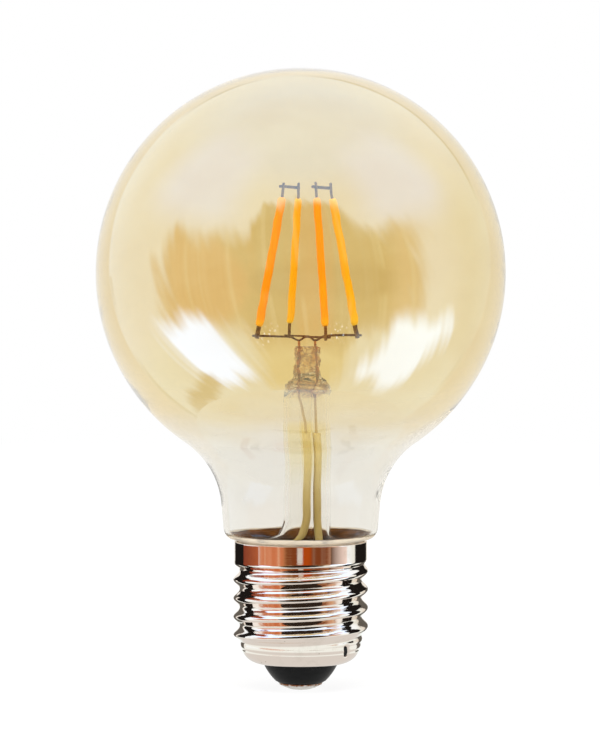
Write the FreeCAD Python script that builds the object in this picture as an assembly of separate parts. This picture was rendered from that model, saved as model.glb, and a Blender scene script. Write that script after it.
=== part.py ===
import FreeCAD, Part
import math
import os

# Globe lamp with four filament rods on an E27 screw cap, in millimetres.
# The origin is the tip of the centre contact, and +Z runs up the lamp's axis to the globe's crown.

# Globe, neck and spigot
globe_diameter = 80.0
glass_wall = 0.7
neck_overhang = 2.55
neck_fillet = 16.5
neck_taper_deg = 5.0
neck_length = 4.85
shoulder_radius = 2.2
shoulder_gap = 0.4

# Screw shell
thread_major = 26.4
thread_minor = 23.96
thread_pitch = 25.4 / 7
thread_length = 16.6
thread_fade = 1.8
thread_turn_deg = 20.0
skirt_diameter = 26.0
skirt_height = 3.5
skirt_rim_radius = 0.14
shell_wall = 0.35
shell_foot_diameter = 23.6
shell_corner = 3.8
shell_lip = 0.6
cement_gap = 0.45
cement_recess = 0.2

# Insulator and centre contact
insulator_drop = 3.9
insulator_ledge = 0.4
insulator_bulge = 0.25
insulator_floor = 1.6
contact_diameter = 8.4
contact_rise = 1.3
contact_land_diameter = 3.8
contact_edge = 0.35
contact_crown = 0.13
shank_diameter = 2.2
shank_length = 3.0
shank_clearance = 0.05

# Stem, press and exhaust tube
mount_offset = 1.3
stem_diameter = 9.2
stem_wall = 0.9
seal_lift = 0.3
flare_height = 8.1
press_drop = 14.1
press_length = 5.1
press_cover = 0.5
press_thickness = 2.6
press_power = 3.5
press_turn_deg = 25.0
press_shoulder = 5.0
bore_gap = 2.3
bore_pinch = 0.75
exhaust_diameter = 2.6
exhaust_wall = 0.35
exhaust_lift = 7.0
exhaust_tip = 2.4
exhaust_nib = 0.5
vent_diameter = 1.0

# Leads and their sleeves
lead_diameter = 0.5
lead_gap = 0.2
lead_rise = 0.7
lead_tail = 0.6
lead_bend = 1.6
lead_splay = 0.5
front_sleeve_turn_deg = -92.0
rear_sleeve_turn_deg = -41.0
sleeve_diameter = 1.5
sleeve_clearance = 0.05
sleeve_head_drop = 6.8
sleeve_foot_gap = 2.2

# Filaments, tabs and the wires that carry them
filament_length = 25.4
filament_width = 1.5
filament_depth = 1.3
filament_power = 3.0
filament_taper = 0.9
filament_end_share = 0.62
filament_rise = 3.9
foot_circle_diameter = 20.0
head_circle_diameter = 10.5
filament_turn_deg = 20.0
tab_length = 2.6
tab_width = 0.9
tab_thickness = 0.22
tab_corner = 0.22
tab_spare = 0.6
cross_wire_diameter = 0.45
link_wire_diameter = 0.4
wire_overhang = 0.7
cross_wire_knee = 1.9
cross_wire_bend = 0.6

# Driver board and what stands on it
board_thickness = 1.0
board_clearance = 0.6
board_seat = 2.35
board_edge = 1.2
hole_clearance = 0.1
chip_length = 4.9
chip_width = 3.9
chip_height = 1.5
chip_pins = 4
chip_turn_deg = 4.0
bridge_length = 4.7
bridge_width = 3.9
bridge_height = 1.6
bridge_pins = 2
bridge_turn_deg = 157.0
pin_width = 0.4
pin_thickness = 0.2
pin_reach = 1.05
capacitor_diameter = 6.3
capacitor_height = 7.7
capacitor_groove = 0.35
capacitor_groove_z = 1.3
capacitor_turn_deg = 78.0
resistor_diameter = 2.2
resistor_length = 6.2
resistor_end_radius = 0.36
resistor_leg = 1.4
resistor_edge = 1.3
resistor_wire_diameter = 0.5
board_wire_diameter = 0.5
neutral_height = 5.0
neutral_edge = 1.5
neutral_turn_deg = 192.0
neutral_bend = 0.8
solder_radius = 0.9

# The cap's heights and radii, from the contact's tip upwards
Vector = FreeCAD.Vector
UP = Vector(0, 0, 1)
tolerance = 1e-6
shell_foot_z = contact_rise + insulator_drop
thread_foot_z = shell_foot_z + shell_corner
thread_head_z = thread_foot_z + thread_length
skirt_top_z = thread_head_z + skirt_height
skirt_radius = skirt_diameter / 2
shell_foot_radius = shell_foot_diameter / 2
shell_bend_radius = shell_foot_radius - shell_corner
shell_mouth_radius = shell_bend_radius - shell_lip
board_z = thread_foot_z
board_top_z = board_z + board_thickness
board_radius = shell_foot_radius - shell_wall - board_clearance
dish_radius = board_radius - board_seat

# The glass, from the skirt's rim upwards
globe_radius = globe_diameter / 2
neck_radius = skirt_radius + neck_overhang
neck_taper = math.radians(neck_taper_deg)
shoulder_z = skirt_top_z + shoulder_gap
shoulder_top_z = shoulder_z + shoulder_radius * (1 - math.sin(neck_taper))
neck_top_z = shoulder_top_z + neck_length
fillet_radius = neck_radius + neck_fillet * math.cos(neck_taper)
fillet_z = neck_top_z - neck_fillet * math.sin(neck_taper)
fillet_drop = math.sqrt((globe_radius + neck_fillet) ** 2 - fillet_radius ** 2)
globe_centre_z = fillet_z + fillet_drop
spigot_radius = skirt_radius - shell_wall - cement_gap
spigot_root_radius = shell_wall + cement_gap
seal_z = thread_head_z + seal_lift

# The mount, from the globe's centre downwards
mount = Vector(mount_offset, 0, 0)
stem_radius = stem_diameter / 2
exhaust_radius = exhaust_diameter / 2
flare_top_z = seal_z + flare_height
press_top_z = globe_centre_z - press_drop
press_foot_z = press_top_z - press_length
press_neck_z = press_foot_z - press_shoulder
bore_top_z = press_foot_z - bore_gap
lead_top_z = press_top_z + lead_rise
lead_end_z = board_z - lead_tail
lead_circle_radius = exhaust_radius + lead_diameter / 2 + lead_gap
press_half_width = lead_circle_radius + lead_diameter / 2 + press_cover
sleeve_circle_radius = (stem_radius - stem_wall + exhaust_radius) / 2
sleeve_head_z = press_neck_z - sleeve_head_drop
sleeve_foot_z = board_top_z + sleeve_foot_gap
foot_z = press_top_z + filament_rise
tab_weld = tab_length - tab_spare


def polar(radius, degrees, height=0.0):
    """A point at a radius and an angle about the Z axis."""
    angle = math.radians(degrees)
    return Vector(radius * math.cos(angle), radius * math.sin(angle), height)


def unit(vector):
    """The vector's direction."""
    return vector / vector.Length


def smooth_step(share):
    """0 to 1 with level ends."""
    share = min(max(share, 0.0), 1.0)
    return share * share * (3 - 2 * share)


def line(start, end):
    """One straight edge."""
    return Part.LineSegment(start, end).toShape()


def arc(centre, radius, start_deg, end_deg):
    """One arc in the XZ half plane, through the middle of its two end angles."""
    spots = []
    for degrees in (start_deg, (start_deg + end_deg) / 2, end_deg):
        angle = math.radians(degrees)
        spots.append(centre + Vector(math.cos(angle), 0, math.sin(angle)) * radius)
    return Part.Arc(*spots).toShape()


def chain(pieces):
    """Edges and points in order, with a straight edge wherever two neighbours don't meet yet."""
    edges = []
    last = None
    for piece in pieces:
        ends = [piece, piece] if isinstance(piece, Vector) else ordered_ends(piece)
        if last is not None and last.distanceToPoint(ends[0]) > tolerance:
            edges.append(line(last, ends[0]))
        if not isinstance(piece, Vector):
            edges.append(piece)
        last = ends[1]
    return edges


def ordered_ends(edge):
    """An edge's first and last points, as it was drawn."""
    return [edge.valueAt(edge.FirstParameter), edge.valueAt(edge.LastParameter)]


def turned(pieces):
    """The solid turned once about Z from a closed outline in the XZ half plane."""
    first = pieces[0]
    start = first if isinstance(first, Vector) else ordered_ends(first)[0]
    outline = Part.Wire(chain(pieces + [start]))
    return Part.Face(outline).revolve(Vector(), UP, 360)


def spot(radius, height):
    """A point of an outline in the XZ half plane."""
    return Vector(radius, 0, height)


def tube(outer, inner, low, high):
    """A plain ring about Z."""
    body = Part.makeCylinder(outer, high - low, Vector(0, 0, low))
    return body.cut(Part.makeCylinder(inner, high - low, Vector(0, 0, low)))


def oval_ring(half_x, half_y, power, turn_deg, centre):
    """A closed level curve, |x / half_x| ^ power + |y / half_y| ^ power = 1, turned about its centre."""
    count = 24
    spots = []
    for step in range(count):
        angle = 2 * math.pi * step / count
        x = math.copysign(abs(math.cos(angle)) ** (2 / power), math.cos(angle)) * half_x
        y = math.copysign(abs(math.sin(angle)) ** (2 / power), math.sin(angle)) * half_y
        spots.append(Vector(x, y, 0))
    curve = Part.BSplineCurve()
    curve.interpolate(Points=spots, PeriodicFlag=True)
    ring = Part.Wire(curve.toShape())
    ring.rotate(Vector(), UP, turn_deg)
    ring.translate(centre)
    return ring


def bent_path(points, bend):
    """Straight runs between the points, with a tangent arc at each inner one."""
    edges = []
    start = points[0]
    for before, corner, after in zip(points, points[1:], points[2:]):
        back = unit(before - corner)
        ahead = unit(after - corner)
        half_turn = (math.pi - back.getAngle(ahead)) / 2
        reach = bend * math.tan(half_turn)
        inward = unit(back + ahead)
        middle = corner + inward * (bend / math.cos(half_turn) - bend)
        edges.append(line(start, corner + back * reach))
        edges.append(Part.Arc(corner + back * reach, middle, corner + ahead * reach).toShape())
        start = corner + ahead * reach
    edges.append(line(start, points[-1]))
    return Part.Wire(edges)


def round_wire(points, diameter, bend):
    """A round wire along a bent path."""
    ring = Part.Wire(Part.makeCircle(diameter / 2, points[0], points[1] - points[0]))
    return bent_path(points, bend).makePipeShell([ring], True, False)


def globe_outline(inset):
    """The glass outline from crown to spigot's end, moved in by the inset, as tangent arcs and lines."""
    meet_deg = -math.degrees(math.atan2(fillet_drop, fillet_radius))
    shoulder_r = neck_radius - neck_length * math.tan(neck_taper) - shoulder_radius * math.cos(neck_taper)
    root = spot(spigot_radius + spigot_root_radius, shoulder_z - spigot_root_radius)
    return [
        arc(spot(0, globe_centre_z), globe_radius - inset, 90, meet_deg),
        arc(spot(fillet_radius, fillet_z), neck_fillet + inset, meet_deg + 180, 180 - neck_taper_deg),
        arc(spot(shoulder_r, shoulder_z + shoulder_radius), shoulder_radius - inset, -neck_taper_deg, -90),
        arc(root, spigot_root_radius + inset, 90, 180),
        spot(spigot_radius - inset, seal_z),
    ]


def glass_globe():
    """The blown glass: an even wall from the crown to the end of the spigot."""
    outer = chain(globe_outline(0))
    inner = chain(globe_outline(glass_wall))
    crown_z = globe_centre_z + globe_radius
    crown = line(spot(0, crown_z - glass_wall), spot(0, crown_z))
    rim = line(spot(spigot_radius - glass_wall, seal_z), spot(spigot_radius, seal_z))
    outline = Part.Wire(Part.__sortEdges__(outer + inner + [crown, rim]))
    return Part.Face(outline).revolve(Vector(), UP, 360)


def thread_face(inset):
    """The rolled wall as one smooth surface: level circles whose centre goes round once in a pitch."""
    degree = 3
    rows_per_pitch = 8
    circle = Part.Circle(Vector(), UP, 1).toBSpline()
    spans = math.ceil(thread_length / thread_pitch * rows_per_pitch)
    knots = [thread_foot_z + thread_length * step / spans for step in range(spans + 1)]
    padded = [knots[0]] * degree + knots + [knots[-1]] * degree
    gain = 3 / (2 + math.cos(2 * math.pi * thread_length / spans / thread_pitch))
    rows = []
    for row in range(spans + degree):
        height = sum(padded[row + 1:row + 1 + degree]) / degree
        radius, throw = thread_ring(height)
        turn = thread_turn_deg + 360 * (height - thread_foot_z) / thread_pitch
        middle = polar(throw * gain, turn, height)
        rows.append([middle + pole * (radius - inset) for pole in circle.getPoles()])
    clamp = degree + 1
    surface = Part.BSplineSurface()
    surface.buildFromPolesMultsKnots(
        [list(column) for column in zip(*rows)],
        circle.getMultiplicities(), [clamp] + [1] * (spans - 1) + [clamp],
        circle.getKnots(), knots, circle.isPeriodic(), False, circle.Degree, degree,
        [[weight] * len(rows) for weight in circle.getWeights()])
    return surface.toShape()


def thread_ring(height):
    """Radius of the wall's level circle at a height, and how far its centre is thrown off the axis."""
    mean = (thread_major + thread_minor) / 4
    begun = smooth_step((height - thread_foot_z) / thread_fade)
    left = smooth_step((thread_head_z - height) / thread_fade)
    radius = mean + (1 - begun) * (shell_foot_radius - mean) + (1 - left) * (skirt_radius - mean)
    return radius, begun * left * (thread_major - thread_minor) / 4


def level_edges(face, height):
    """The closed edge of a face at a height, as a wire."""
    return Part.Wire([edge for edge in face.Edges if abs(edge.BoundBox.Center.z - height) < tolerance])


def sewn(faces):
    """The solid that a closed set of faces bounds."""
    shell = Part.makeShell(faces)
    shell.sewShape()
    solid = Part.Solid(shell)
    solid.fix(tolerance, tolerance, tolerance)
    return solid


def screw_shell():
    """Skirt, rolled thread and rounded bottom of one sheet."""
    outer = thread_face(0)
    inner = thread_face(shell_wall)
    faces = [outer, inner]
    for height in (thread_foot_z, thread_head_z):
        ring = Part.Face([level_edges(outer, height), level_edges(inner, height)])
        faces.append(ring)
    wall = sewn(faces)
    skirt = tube(skirt_radius, skirt_radius - shell_wall, thread_head_z, skirt_top_z)
    rim = [edge for edge in skirt.Edges if abs(edge.BoundBox.Center.z - skirt_top_z) < tolerance]
    skirt = skirt.makeFillet(skirt_rim_radius, [edge for edge in rim if edge.Closed])
    bend = spot(shell_bend_radius, thread_foot_z)
    bottom = turned([
        arc(bend, shell_corner, 0, -90),
        spot(shell_mouth_radius, shell_foot_z),
        spot(shell_mouth_radius, shell_foot_z + shell_wall),
        arc(bend, shell_corner - shell_wall, -90, 0),
    ])
    return wall.fuse([skirt, bottom])


def shell_inside():
    """The room inside the threaded stretch of the shell."""
    inner = thread_face(shell_wall)
    caps = [Part.Face(level_edges(inner, height)) for height in (thread_foot_z, thread_head_z)]
    return sewn([inner] + caps)


def basing_cement(glass):
    """Cement that fills the gap between the spigot and the skirt."""
    ring = tube(skirt_radius - shell_wall, spigot_radius, seal_z, skirt_top_z - cement_recess)
    return ring.cut(glass)


def cap_insulator():
    """Black insulator: fills the shell's rounded bottom and tapers to the contact below it."""
    tip_radius = contact_diameter / 2 + insulator_ledge
    hole_radius = shank_diameter / 2 + shank_clearance
    bend = spot(shell_bend_radius, thread_foot_z)
    low = spot(tip_radius, contact_rise)
    high = spot(shell_mouth_radius, shell_foot_z)
    belly = (low + high) / 2 + unit(Vector(high.z - low.z, 0, low.x - high.x)) * insulator_bulge
    floor_z = contact_rise + insulator_floor
    return turned([
        spot(hole_radius, contact_rise),
        Part.Arc(low, belly, high).toShape(),
        spot(shell_mouth_radius, shell_foot_z + shell_wall),
        arc(bend, shell_corner - shell_wall, -90, 0),
        spot(dish_radius, thread_foot_z),
        spot((dish_radius + hole_radius) / 2, floor_z),
        spot(hole_radius, floor_z),
    ])


def centre_contact():
    """End contact: a shallow dome with a flat land and a hollow shank for the live wire."""
    radius = contact_diameter / 2
    land = contact_land_diameter / 2
    shank_radius = shank_diameter / 2
    bore_radius = board_wire_diameter / 2 + hole_clearance
    dome_start = spot(land, 0)
    dome_end = spot(radius, contact_rise - contact_edge)
    slope = unit(dome_end - dome_start)
    dome_middle = (dome_start + dome_end) / 2 + Vector(slope.z, 0, -slope.x) * contact_crown
    shank_top_z = contact_rise + shank_length
    return turned([
        spot(0, 0),
        Part.Arc(dome_start, dome_middle, dome_end).toShape(),
        spot(radius, contact_rise),
        spot(shank_radius, contact_rise),
        spot(shank_radius, shank_top_z),
        spot(bore_radius, shank_top_z),
        spot(bore_radius, contact_rise),
        spot(0, contact_rise),
    ])


def flare_ring(share, wall):
    """One level ring of the stem's trumpet, from the seal at 0 to the tube at 1."""
    rim_radius = spigot_radius - glass_wall
    radius = stem_radius + (rim_radius - stem_radius) * (1 - share) ** 3 - wall * share
    height = seal_z + flare_height * share - wall * (1 - share)
    centre = Vector(mount_offset * smooth_step(share), 0, height)
    return oval_ring(radius, radius, 2, press_turn_deg, centre)


def press_ring(share, height, wall):
    """One level ring of the stem's shoulder, round at 0 and pinched flat at 1."""
    blend = smooth_step(share)
    half_x = (stem_radius - wall) * (1 - blend) + press_half_width * blend
    half_y = (stem_radius - wall) * (1 - blend) + press_thickness / 2 * blend
    power = 2 + (press_power - 2) * blend
    return oval_ring(half_x, half_y, power, press_turn_deg, mount + UP * height)


def stem_body(wall, pinch, top_z):
    """Trumpet, tube and shoulder, moved in by a wall, with the shoulder's last ring."""
    shares = [step / 5 for step in range(6)]
    flare = Part.makeLoft([flare_ring(share, wall) for share in shares], True, False)
    straight = Part.Face(flare_ring(1, wall)).extrude(UP * (press_neck_z - flare_top_z))
    rise = top_z - press_neck_z
    rings = [press_ring(share * pinch, press_neck_z + rise * share, wall) for share in shares]
    shoulder = Part.makeLoft(rings, True, False)
    return flare.fuse([straight, shoulder]), rings[-1]


def glass_stem(leads):
    """Stem of one glass: the flare sealed to the spigot, the tube and the press round the leads."""
    body, top_ring = stem_body(0, 1, press_foot_z)
    rim = Part.makeCylinder(spigot_radius, stem_wall, Vector(0, 0, seal_z - stem_wall))
    press = Part.Face(top_ring).extrude(UP * press_length)
    bore = stem_body(stem_wall, bore_pinch, bore_top_z)[0]
    vent_radius = vent_diameter / 2
    riser = Part.makeCylinder(vent_radius, press_foot_z - bore_top_z, mount + UP * bore_top_z)
    side = polar(1, press_turn_deg + 90)
    port = Part.makeCylinder(vent_radius, press_half_width, mount + UP * press_foot_z, side)
    return rim.fuse([body, press]).cut([bore, riser, port] + leads)


def exhaust_tube():
    """Exhaust pipe under the press, drawn to a sealed round tip."""
    bore = exhaust_radius - exhaust_wall
    tip_z = board_top_z + exhaust_lift
    draw_z = tip_z + exhaust_tip
    pipe = turned([
        spot(exhaust_radius, bore_top_z),
        spot(exhaust_radius, draw_z),
        arc(spot(0, tip_z + exhaust_nib), exhaust_nib, 0, -90),
        spot(0, draw_z),
        spot(bore, draw_z),
        spot(bore, bore_top_z),
    ])
    pipe.translate(mount)
    return pipe


def lead_pad(side):
    """Where one lead meets the board: beside the resistor's foot, clear of its body."""
    first, last = resistor_feet()
    foot = first if side == "front" else last
    return foot + Vector(0, (resistor_diameter + sleeve_diameter) / 2 + lead_gap, 0)


def lead_route(side):
    """Route of one lead: press, tube, the flare's mouth part of the way to its pad, and the pad."""
    press_turn, sleeve_turn = 0.0, rear_sleeve_turn_deg
    if side == "front":
        press_turn, sleeve_turn = 180.0, front_sleeve_turn_deg
    in_press = mount + polar(lead_circle_radius, press_turn_deg + press_turn)
    in_tube = mount + polar(sleeve_circle_radius, sleeve_turn)
    pad = lead_pad(side)
    mouth = in_tube + (pad - in_tube) * lead_splay
    stops = [
        (in_press, lead_top_z),
        (in_press, bore_top_z - bore_gap),
        (in_tube, press_neck_z - press_shoulder),
        (in_tube, flare_top_z - stem_wall),
        (mouth, seal_z - stem_wall),
        (pad, board_top_z + exhaust_lift),
        (pad, lead_end_z),
    ]
    return [Vector(place.x, place.y, height) for place, height in stops]


def lead_wire(side):
    """One current lead."""
    return round_wire(lead_route(side), lead_diameter, lead_bend)


def lead_sleeve(side):
    """Insulating sleeve on one lead, from inside the stem tube down to the board."""
    route = lead_route(side)
    low = Vector(route[-1].x, route[-1].y, sleeve_foot_z)
    high = Vector(route[2].x, route[2].y, sleeve_head_z)
    points = [high] + route[3:-1] + [low]
    outer = round_wire(points, sleeve_diameter, lead_bend)
    return outer.cut(round_wire(points, lead_diameter + 2 * sleeve_clearance, lead_bend))


class Filament:
    """One rod: where it stands and which way it leans."""

    def __init__(self, turn_deg):
        """The rod at an angle about the mount's axis."""
        self.foot = mount + polar(foot_circle_diameter / 2, turn_deg, foot_z)
        lean = (foot_circle_diameter - head_circle_diameter) / 2
        rise = math.sqrt(filament_length ** 2 - lean ** 2)
        self.head = mount + polar(head_circle_diameter / 2, turn_deg, foot_z + rise)
        self.axis = unit(self.head - self.foot)

    def placed(self, shape, origin, along, across):
        """A shape drawn on +Z, stood at a point along a direction, with its X side across."""
        side = unit(across - along * across.dot(along))
        turn = FreeCAD.Rotation(side, along.cross(side), along, "ZXY")
        shape.Placement = FreeCAD.Placement(origin, turn)
        return shape

    def rod(self):
        """The coated rod, with drawn-in ends."""
        width = filament_width / 2
        depth = filament_depth / 2
        levels = [
            (0, filament_end_share), (filament_taper, 1),
            (filament_length - filament_taper, 1), (filament_length, filament_end_share),
        ]
        rings = [oval_ring(width * size, depth * size, filament_power, 0, UP * z) for z, size in levels]
        outward = unit(Vector(self.foot.x - mount_offset, self.foot.y, 0))
        return self.placed(Part.makeLoft(rings, True, True), self.foot, self.axis, outward)

    def tab(self, at_head, across):
        """The metal strip at one end, with its flat side along a direction."""
        strip = Part.makeBox(tab_width, tab_thickness, tab_length)
        strip.translate(Vector(-tab_width / 2, -tab_thickness / 2, 0))
        strip = strip.makeFillet(tab_corner, [edge for edge in strip.Edges if is_free_corner(edge)])
        origin = self.head if at_head else self.foot
        return self.placed(strip, origin, self.axis if at_head else -self.axis, across)

    def weld(self, at_head, across, diameter):
        """Where a wire that lies across the tab's flat has its centre."""
        along = self.axis if at_head else -self.axis
        origin = self.head if at_head else self.foot
        side = unit(along.cross(across))
        return origin + along * tab_weld + side * (tab_thickness + diameter) / 2


def is_free_corner(edge):
    """Whether an edge of a tab is one of the two short ones at its free end."""
    box = edge.BoundBox
    return abs(box.ZMin - tab_length) < tolerance and box.XLength < tolerance


def level_way(start, end):
    """The level direction from one point to another."""
    return unit(Vector(end.x - start.x, end.y - start.y, 0))


def cross_wire(side, rods):
    """Bent wire on one lead's end that carries two rods by their foot tabs."""
    lead_end = lead_route(side)[0]
    arms = []
    for rod in rods:
        way = level_way(rod.foot, lead_end)
        weld = rod.weld(False, way, cross_wire_diameter)
        span = (lead_end - weld).dot(way)
        tip = weld - way * (tab_width / 2 + wire_overhang)
        arms.append([tip, weld + way * (span - cross_wire_knee)])
    middle = lead_end + UP * cross_wire_diameter / 2
    first, second = arms
    return round_wire(first + [middle] + second[::-1], cross_wire_diameter, cross_wire_bend)


def link_wire(first, second):
    """Straight wire across two head tabs, which joins the rods in series."""
    way = level_way(first.head, second.head)
    spare = way * (tab_width / 2 + wire_overhang)
    start = first.weld(True, way, link_wire_diameter) - spare
    end = second.weld(True, way, link_wire_diameter) + spare
    return Part.makeCylinder(link_wire_diameter / 2, (end - start).Length, start, end - start)


def drill(place, diameter):
    """The cut for a wire through the board."""
    foot = Vector(place.x, place.y, board_z)
    return Part.makeCylinder(diameter / 2 + hole_clearance, board_thickness, foot)


def resistor_feet():
    """Where the resistor's two legs meet the board, over the insulator's dish."""
    half = resistor_length / 2 + resistor_leg
    aside = math.sqrt((dish_radius - resistor_edge) ** 2 - half ** 2)
    return [Vector(end * half, -aside, board_top_z) for end in (-1, 1)]


def neutral_foot():
    """Where the neutral wire leaves the board."""
    return polar(board_radius - neutral_edge, neutral_turn_deg, board_z)


def driver_board():
    """Round board on the insulator's rim, drilled for its wires."""
    disc = Part.makeCylinder(board_radius, board_thickness, UP * board_z)
    cuts = [drill(lead_route(side)[-1], lead_diameter) for side in ("front", "rear")]
    cuts += [drill(foot, resistor_wire_diameter) for foot in resistor_feet()]
    cuts += [drill(spot_on_board, board_wire_diameter) for spot_on_board in (Vector(), neutral_foot())]
    return disc.cut(cuts)


def moulded_package(length, width, height, pins, turn_deg):
    """A moulded body on bent pins along two sides, standing on the board."""
    body = Part.makeBox(length, width, height - pin_thickness)
    body.translate(Vector(-length / 2, -width / 2, pin_thickness))
    top = [edge for edge in body.Edges if abs(edge.BoundBox.ZMin - height) < tolerance]
    body = body.makeChamfer(pin_thickness, top)
    middle = height / 2
    side = width / 2
    knee = side + pin_reach / 2
    outline = [
        (side - pin_reach / 2, middle), (knee - pin_thickness, middle), (knee - pin_thickness, 0),
        (side + pin_reach, 0), (side + pin_reach, pin_thickness), (knee, pin_thickness),
        (knee, middle + pin_thickness), (side - pin_reach / 2, middle + pin_thickness),
    ]
    legs = []
    for step in range(pins):
        x = length * ((step + 0.5) / pins - 0.5) - pin_width / 2
        profile = Part.makePolygon([Vector(x, y, z) for y, z in outline + outline[:1]])
        leg = Part.Face(profile).extrude(Vector(pin_width, 0, 0))
        legs += [leg, leg.mirror(Vector(), Vector(0, 1, 0))]
    package = body.fuse(legs)
    corner = math.hypot(length / 2, side + pin_reach)
    package.translate(polar(board_radius - board_edge - corner, turn_deg, board_top_z))
    return package


def smoothing_capacitor():
    """Upright can with its crimped groove."""
    radius = capacitor_diameter / 2
    edge = capacitor_groove
    can = turned([
        spot(0, 0),
        arc(spot(radius - edge, edge), edge, -90, 0),
        arc(spot(radius, capacitor_groove_z), edge, 270, 90),
        arc(spot(radius - edge, capacitor_height - edge), edge, 0, 90),
        spot(0, capacitor_height),
    ])
    can.translate(polar(board_radius - board_edge - radius, capacitor_turn_deg, board_top_z))
    return can


def fusible_resistor():
    """Axial resistor lying over the board, on its own bent legs."""
    radius = resistor_diameter / 2
    first, last = resistor_feet()
    lift = UP * (radius + hole_clearance)
    drop = UP * (board_thickness + lead_tail)
    staple = round_wire([first - drop, first + lift, last + lift, last - drop],
                        resistor_wire_diameter, resistor_wire_diameter)
    start = (first + last) / 2 + lift - Vector(resistor_length / 2, 0, 0)
    body = Part.makeCylinder(radius, resistor_length, start, Vector(1, 0, 0))
    body = body.makeFillet(resistor_end_radius, [edge for edge in body.Edges if edge.BoundBox.XLength < tolerance])
    return body.fuse(staple)


def live_wire():
    """Straight wire from the board down into the contact's shank."""
    length = board_top_z + lead_tail - contact_rise
    return Part.makeCylinder(board_wire_diameter / 2, length, UP * contact_rise)


def neutral_end():
    """Where the neutral wire meets the shell: a point on the inside of the rolled wall."""
    height = board_top_z + neutral_height
    radius, throw = thread_ring(height)
    turn = thread_turn_deg + 360 * (height - thread_foot_z) / thread_pitch
    reach = radius - shell_wall + throw * math.cos(math.radians(neutral_turn_deg - turn))
    return polar(reach, neutral_turn_deg, height)


def neutral_wire():
    """Wire from the board up and out to the shell's wall."""
    foot = neutral_foot()
    end = neutral_end()
    short = polar(board_wire_diameter, neutral_turn_deg)
    corner = Vector(foot.x, foot.y, end.z)
    return round_wire([foot, corner, end - short], board_wire_diameter, neutral_bend)


def neutral_solder(wire):
    """Solder that joins the neutral wire to the shell."""
    drop = Part.makeSphere(solder_radius, neutral_end())
    return drop.common(shell_inside()).cut(wire)


def build():
    """Every piece of the lamp by its node's name."""
    rods = {}
    for step, name in enumerate(("right", "rear", "left", "front")):
        rods[name] = Filament(filament_turn_deg + 90 * step)
    carried = {"front": ("left", "front"), "rear": ("rear", "right")}
    linked = {"left": ("left", "rear"), "right": ("front", "right")}
    glass = glass_globe()
    leads = {side: lead_wire(side) for side in carried}
    parts = {
        "glass_globe": glass,
        "glass_stem": glass_stem(list(leads.values())),
        "exhaust_tube": exhaust_tube(),
    }
    for side, names in carried.items():
        pair = [rods[name] for name in names]
        parts["lead_wire_" + side] = leads[side]
        parts["lead_sleeve_" + side] = lead_sleeve(side)
        parts["cross_wire_" + side] = cross_wire(side, pair)
        for name in names:
            way = level_way(rods[name].foot, lead_route(side)[0])
            parts["foot_tab_" + name] = rods[name].tab(False, way)
    for side, names in linked.items():
        first, second = [rods[name] for name in names]
        parts["link_wire_" + side] = link_wire(first, second)
        for name in names:
            parts["head_tab_" + name] = rods[name].tab(True, level_way(first.head, second.head))
    for name, rod in rods.items():
        parts["filament_" + name] = rod.rod()
    wire = neutral_wire()
    parts["screw_shell"] = screw_shell()
    parts["basing_cement"] = basing_cement(glass)
    parts["cap_insulator"] = cap_insulator()
    parts["centre_contact"] = centre_contact()
    parts["driver_board"] = driver_board()
    parts["driver_chip"] = moulded_package(chip_length, chip_width, chip_height, chip_pins, chip_turn_deg)
    parts["bridge_rectifier"] = moulded_package(
        bridge_length, bridge_width, bridge_height, bridge_pins, bridge_turn_deg)
    parts["smoothing_capacitor"] = smoothing_capacitor()
    parts["fusible_resistor"] = fusible_resistor()
    parts["live_wire"] = live_wire()
    parts["neutral_wire"] = wire
    parts["neutral_solder"] = neutral_solder(wire)
    return parts


os.makedirs("parts", exist_ok=True)
for node, shape in build().items():
    shape.exportStep("parts/" + node + ".step")
    print(node, shape.isValid(), len(shape.Solids), round(shape.Volume, 2))
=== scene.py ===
"""Looks of the amber globe lamp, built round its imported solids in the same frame, in metres."""

import logging
import math
from dataclasses import dataclass, field
from enum import Enum

import bpy
import numpy as np
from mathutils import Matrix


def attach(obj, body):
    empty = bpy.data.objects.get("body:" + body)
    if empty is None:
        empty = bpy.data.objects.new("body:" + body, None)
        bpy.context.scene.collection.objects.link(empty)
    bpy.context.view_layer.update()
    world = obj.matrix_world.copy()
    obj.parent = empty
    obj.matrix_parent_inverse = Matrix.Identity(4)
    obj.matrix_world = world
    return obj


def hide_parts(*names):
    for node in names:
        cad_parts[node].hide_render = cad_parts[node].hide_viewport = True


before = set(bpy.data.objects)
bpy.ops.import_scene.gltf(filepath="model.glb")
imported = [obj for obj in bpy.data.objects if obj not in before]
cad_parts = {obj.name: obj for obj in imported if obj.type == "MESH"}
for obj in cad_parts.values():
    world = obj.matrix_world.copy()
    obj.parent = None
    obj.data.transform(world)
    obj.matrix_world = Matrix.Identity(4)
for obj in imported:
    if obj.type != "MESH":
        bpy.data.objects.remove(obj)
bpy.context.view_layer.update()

Array = np.ndarray
Colour = tuple[float, float, float]
Rows = dict[str, Array]
Socket = bpy.types.NodeSocket
MM = 0.001
MOUNT_X = 1.3  # the mount stands this far to the right of the lamp's axis
SPIGOT_RADIUS = 12.2  # outside of the glass within the skirt
SEAL_Z = 25.9  # where the bulb and the stem are sealed together
DENT_DEG, DENT_Z = -40.0, 8.2  # the staking dent near the shell's foot
UP = np.array([0.0, 0.0, 1.0])
ACROSS = np.array([1.0, 0.2, 0.0])  # a level direction that no lead runs along
WIRE_STEPS = 400  # points of a wire's centre line before it is cut into rings
WIRE_COLUMNS = 20  # points round a wire
log = logging.getLogger("globe_lamp")


# Numbers, curves and grids


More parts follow.
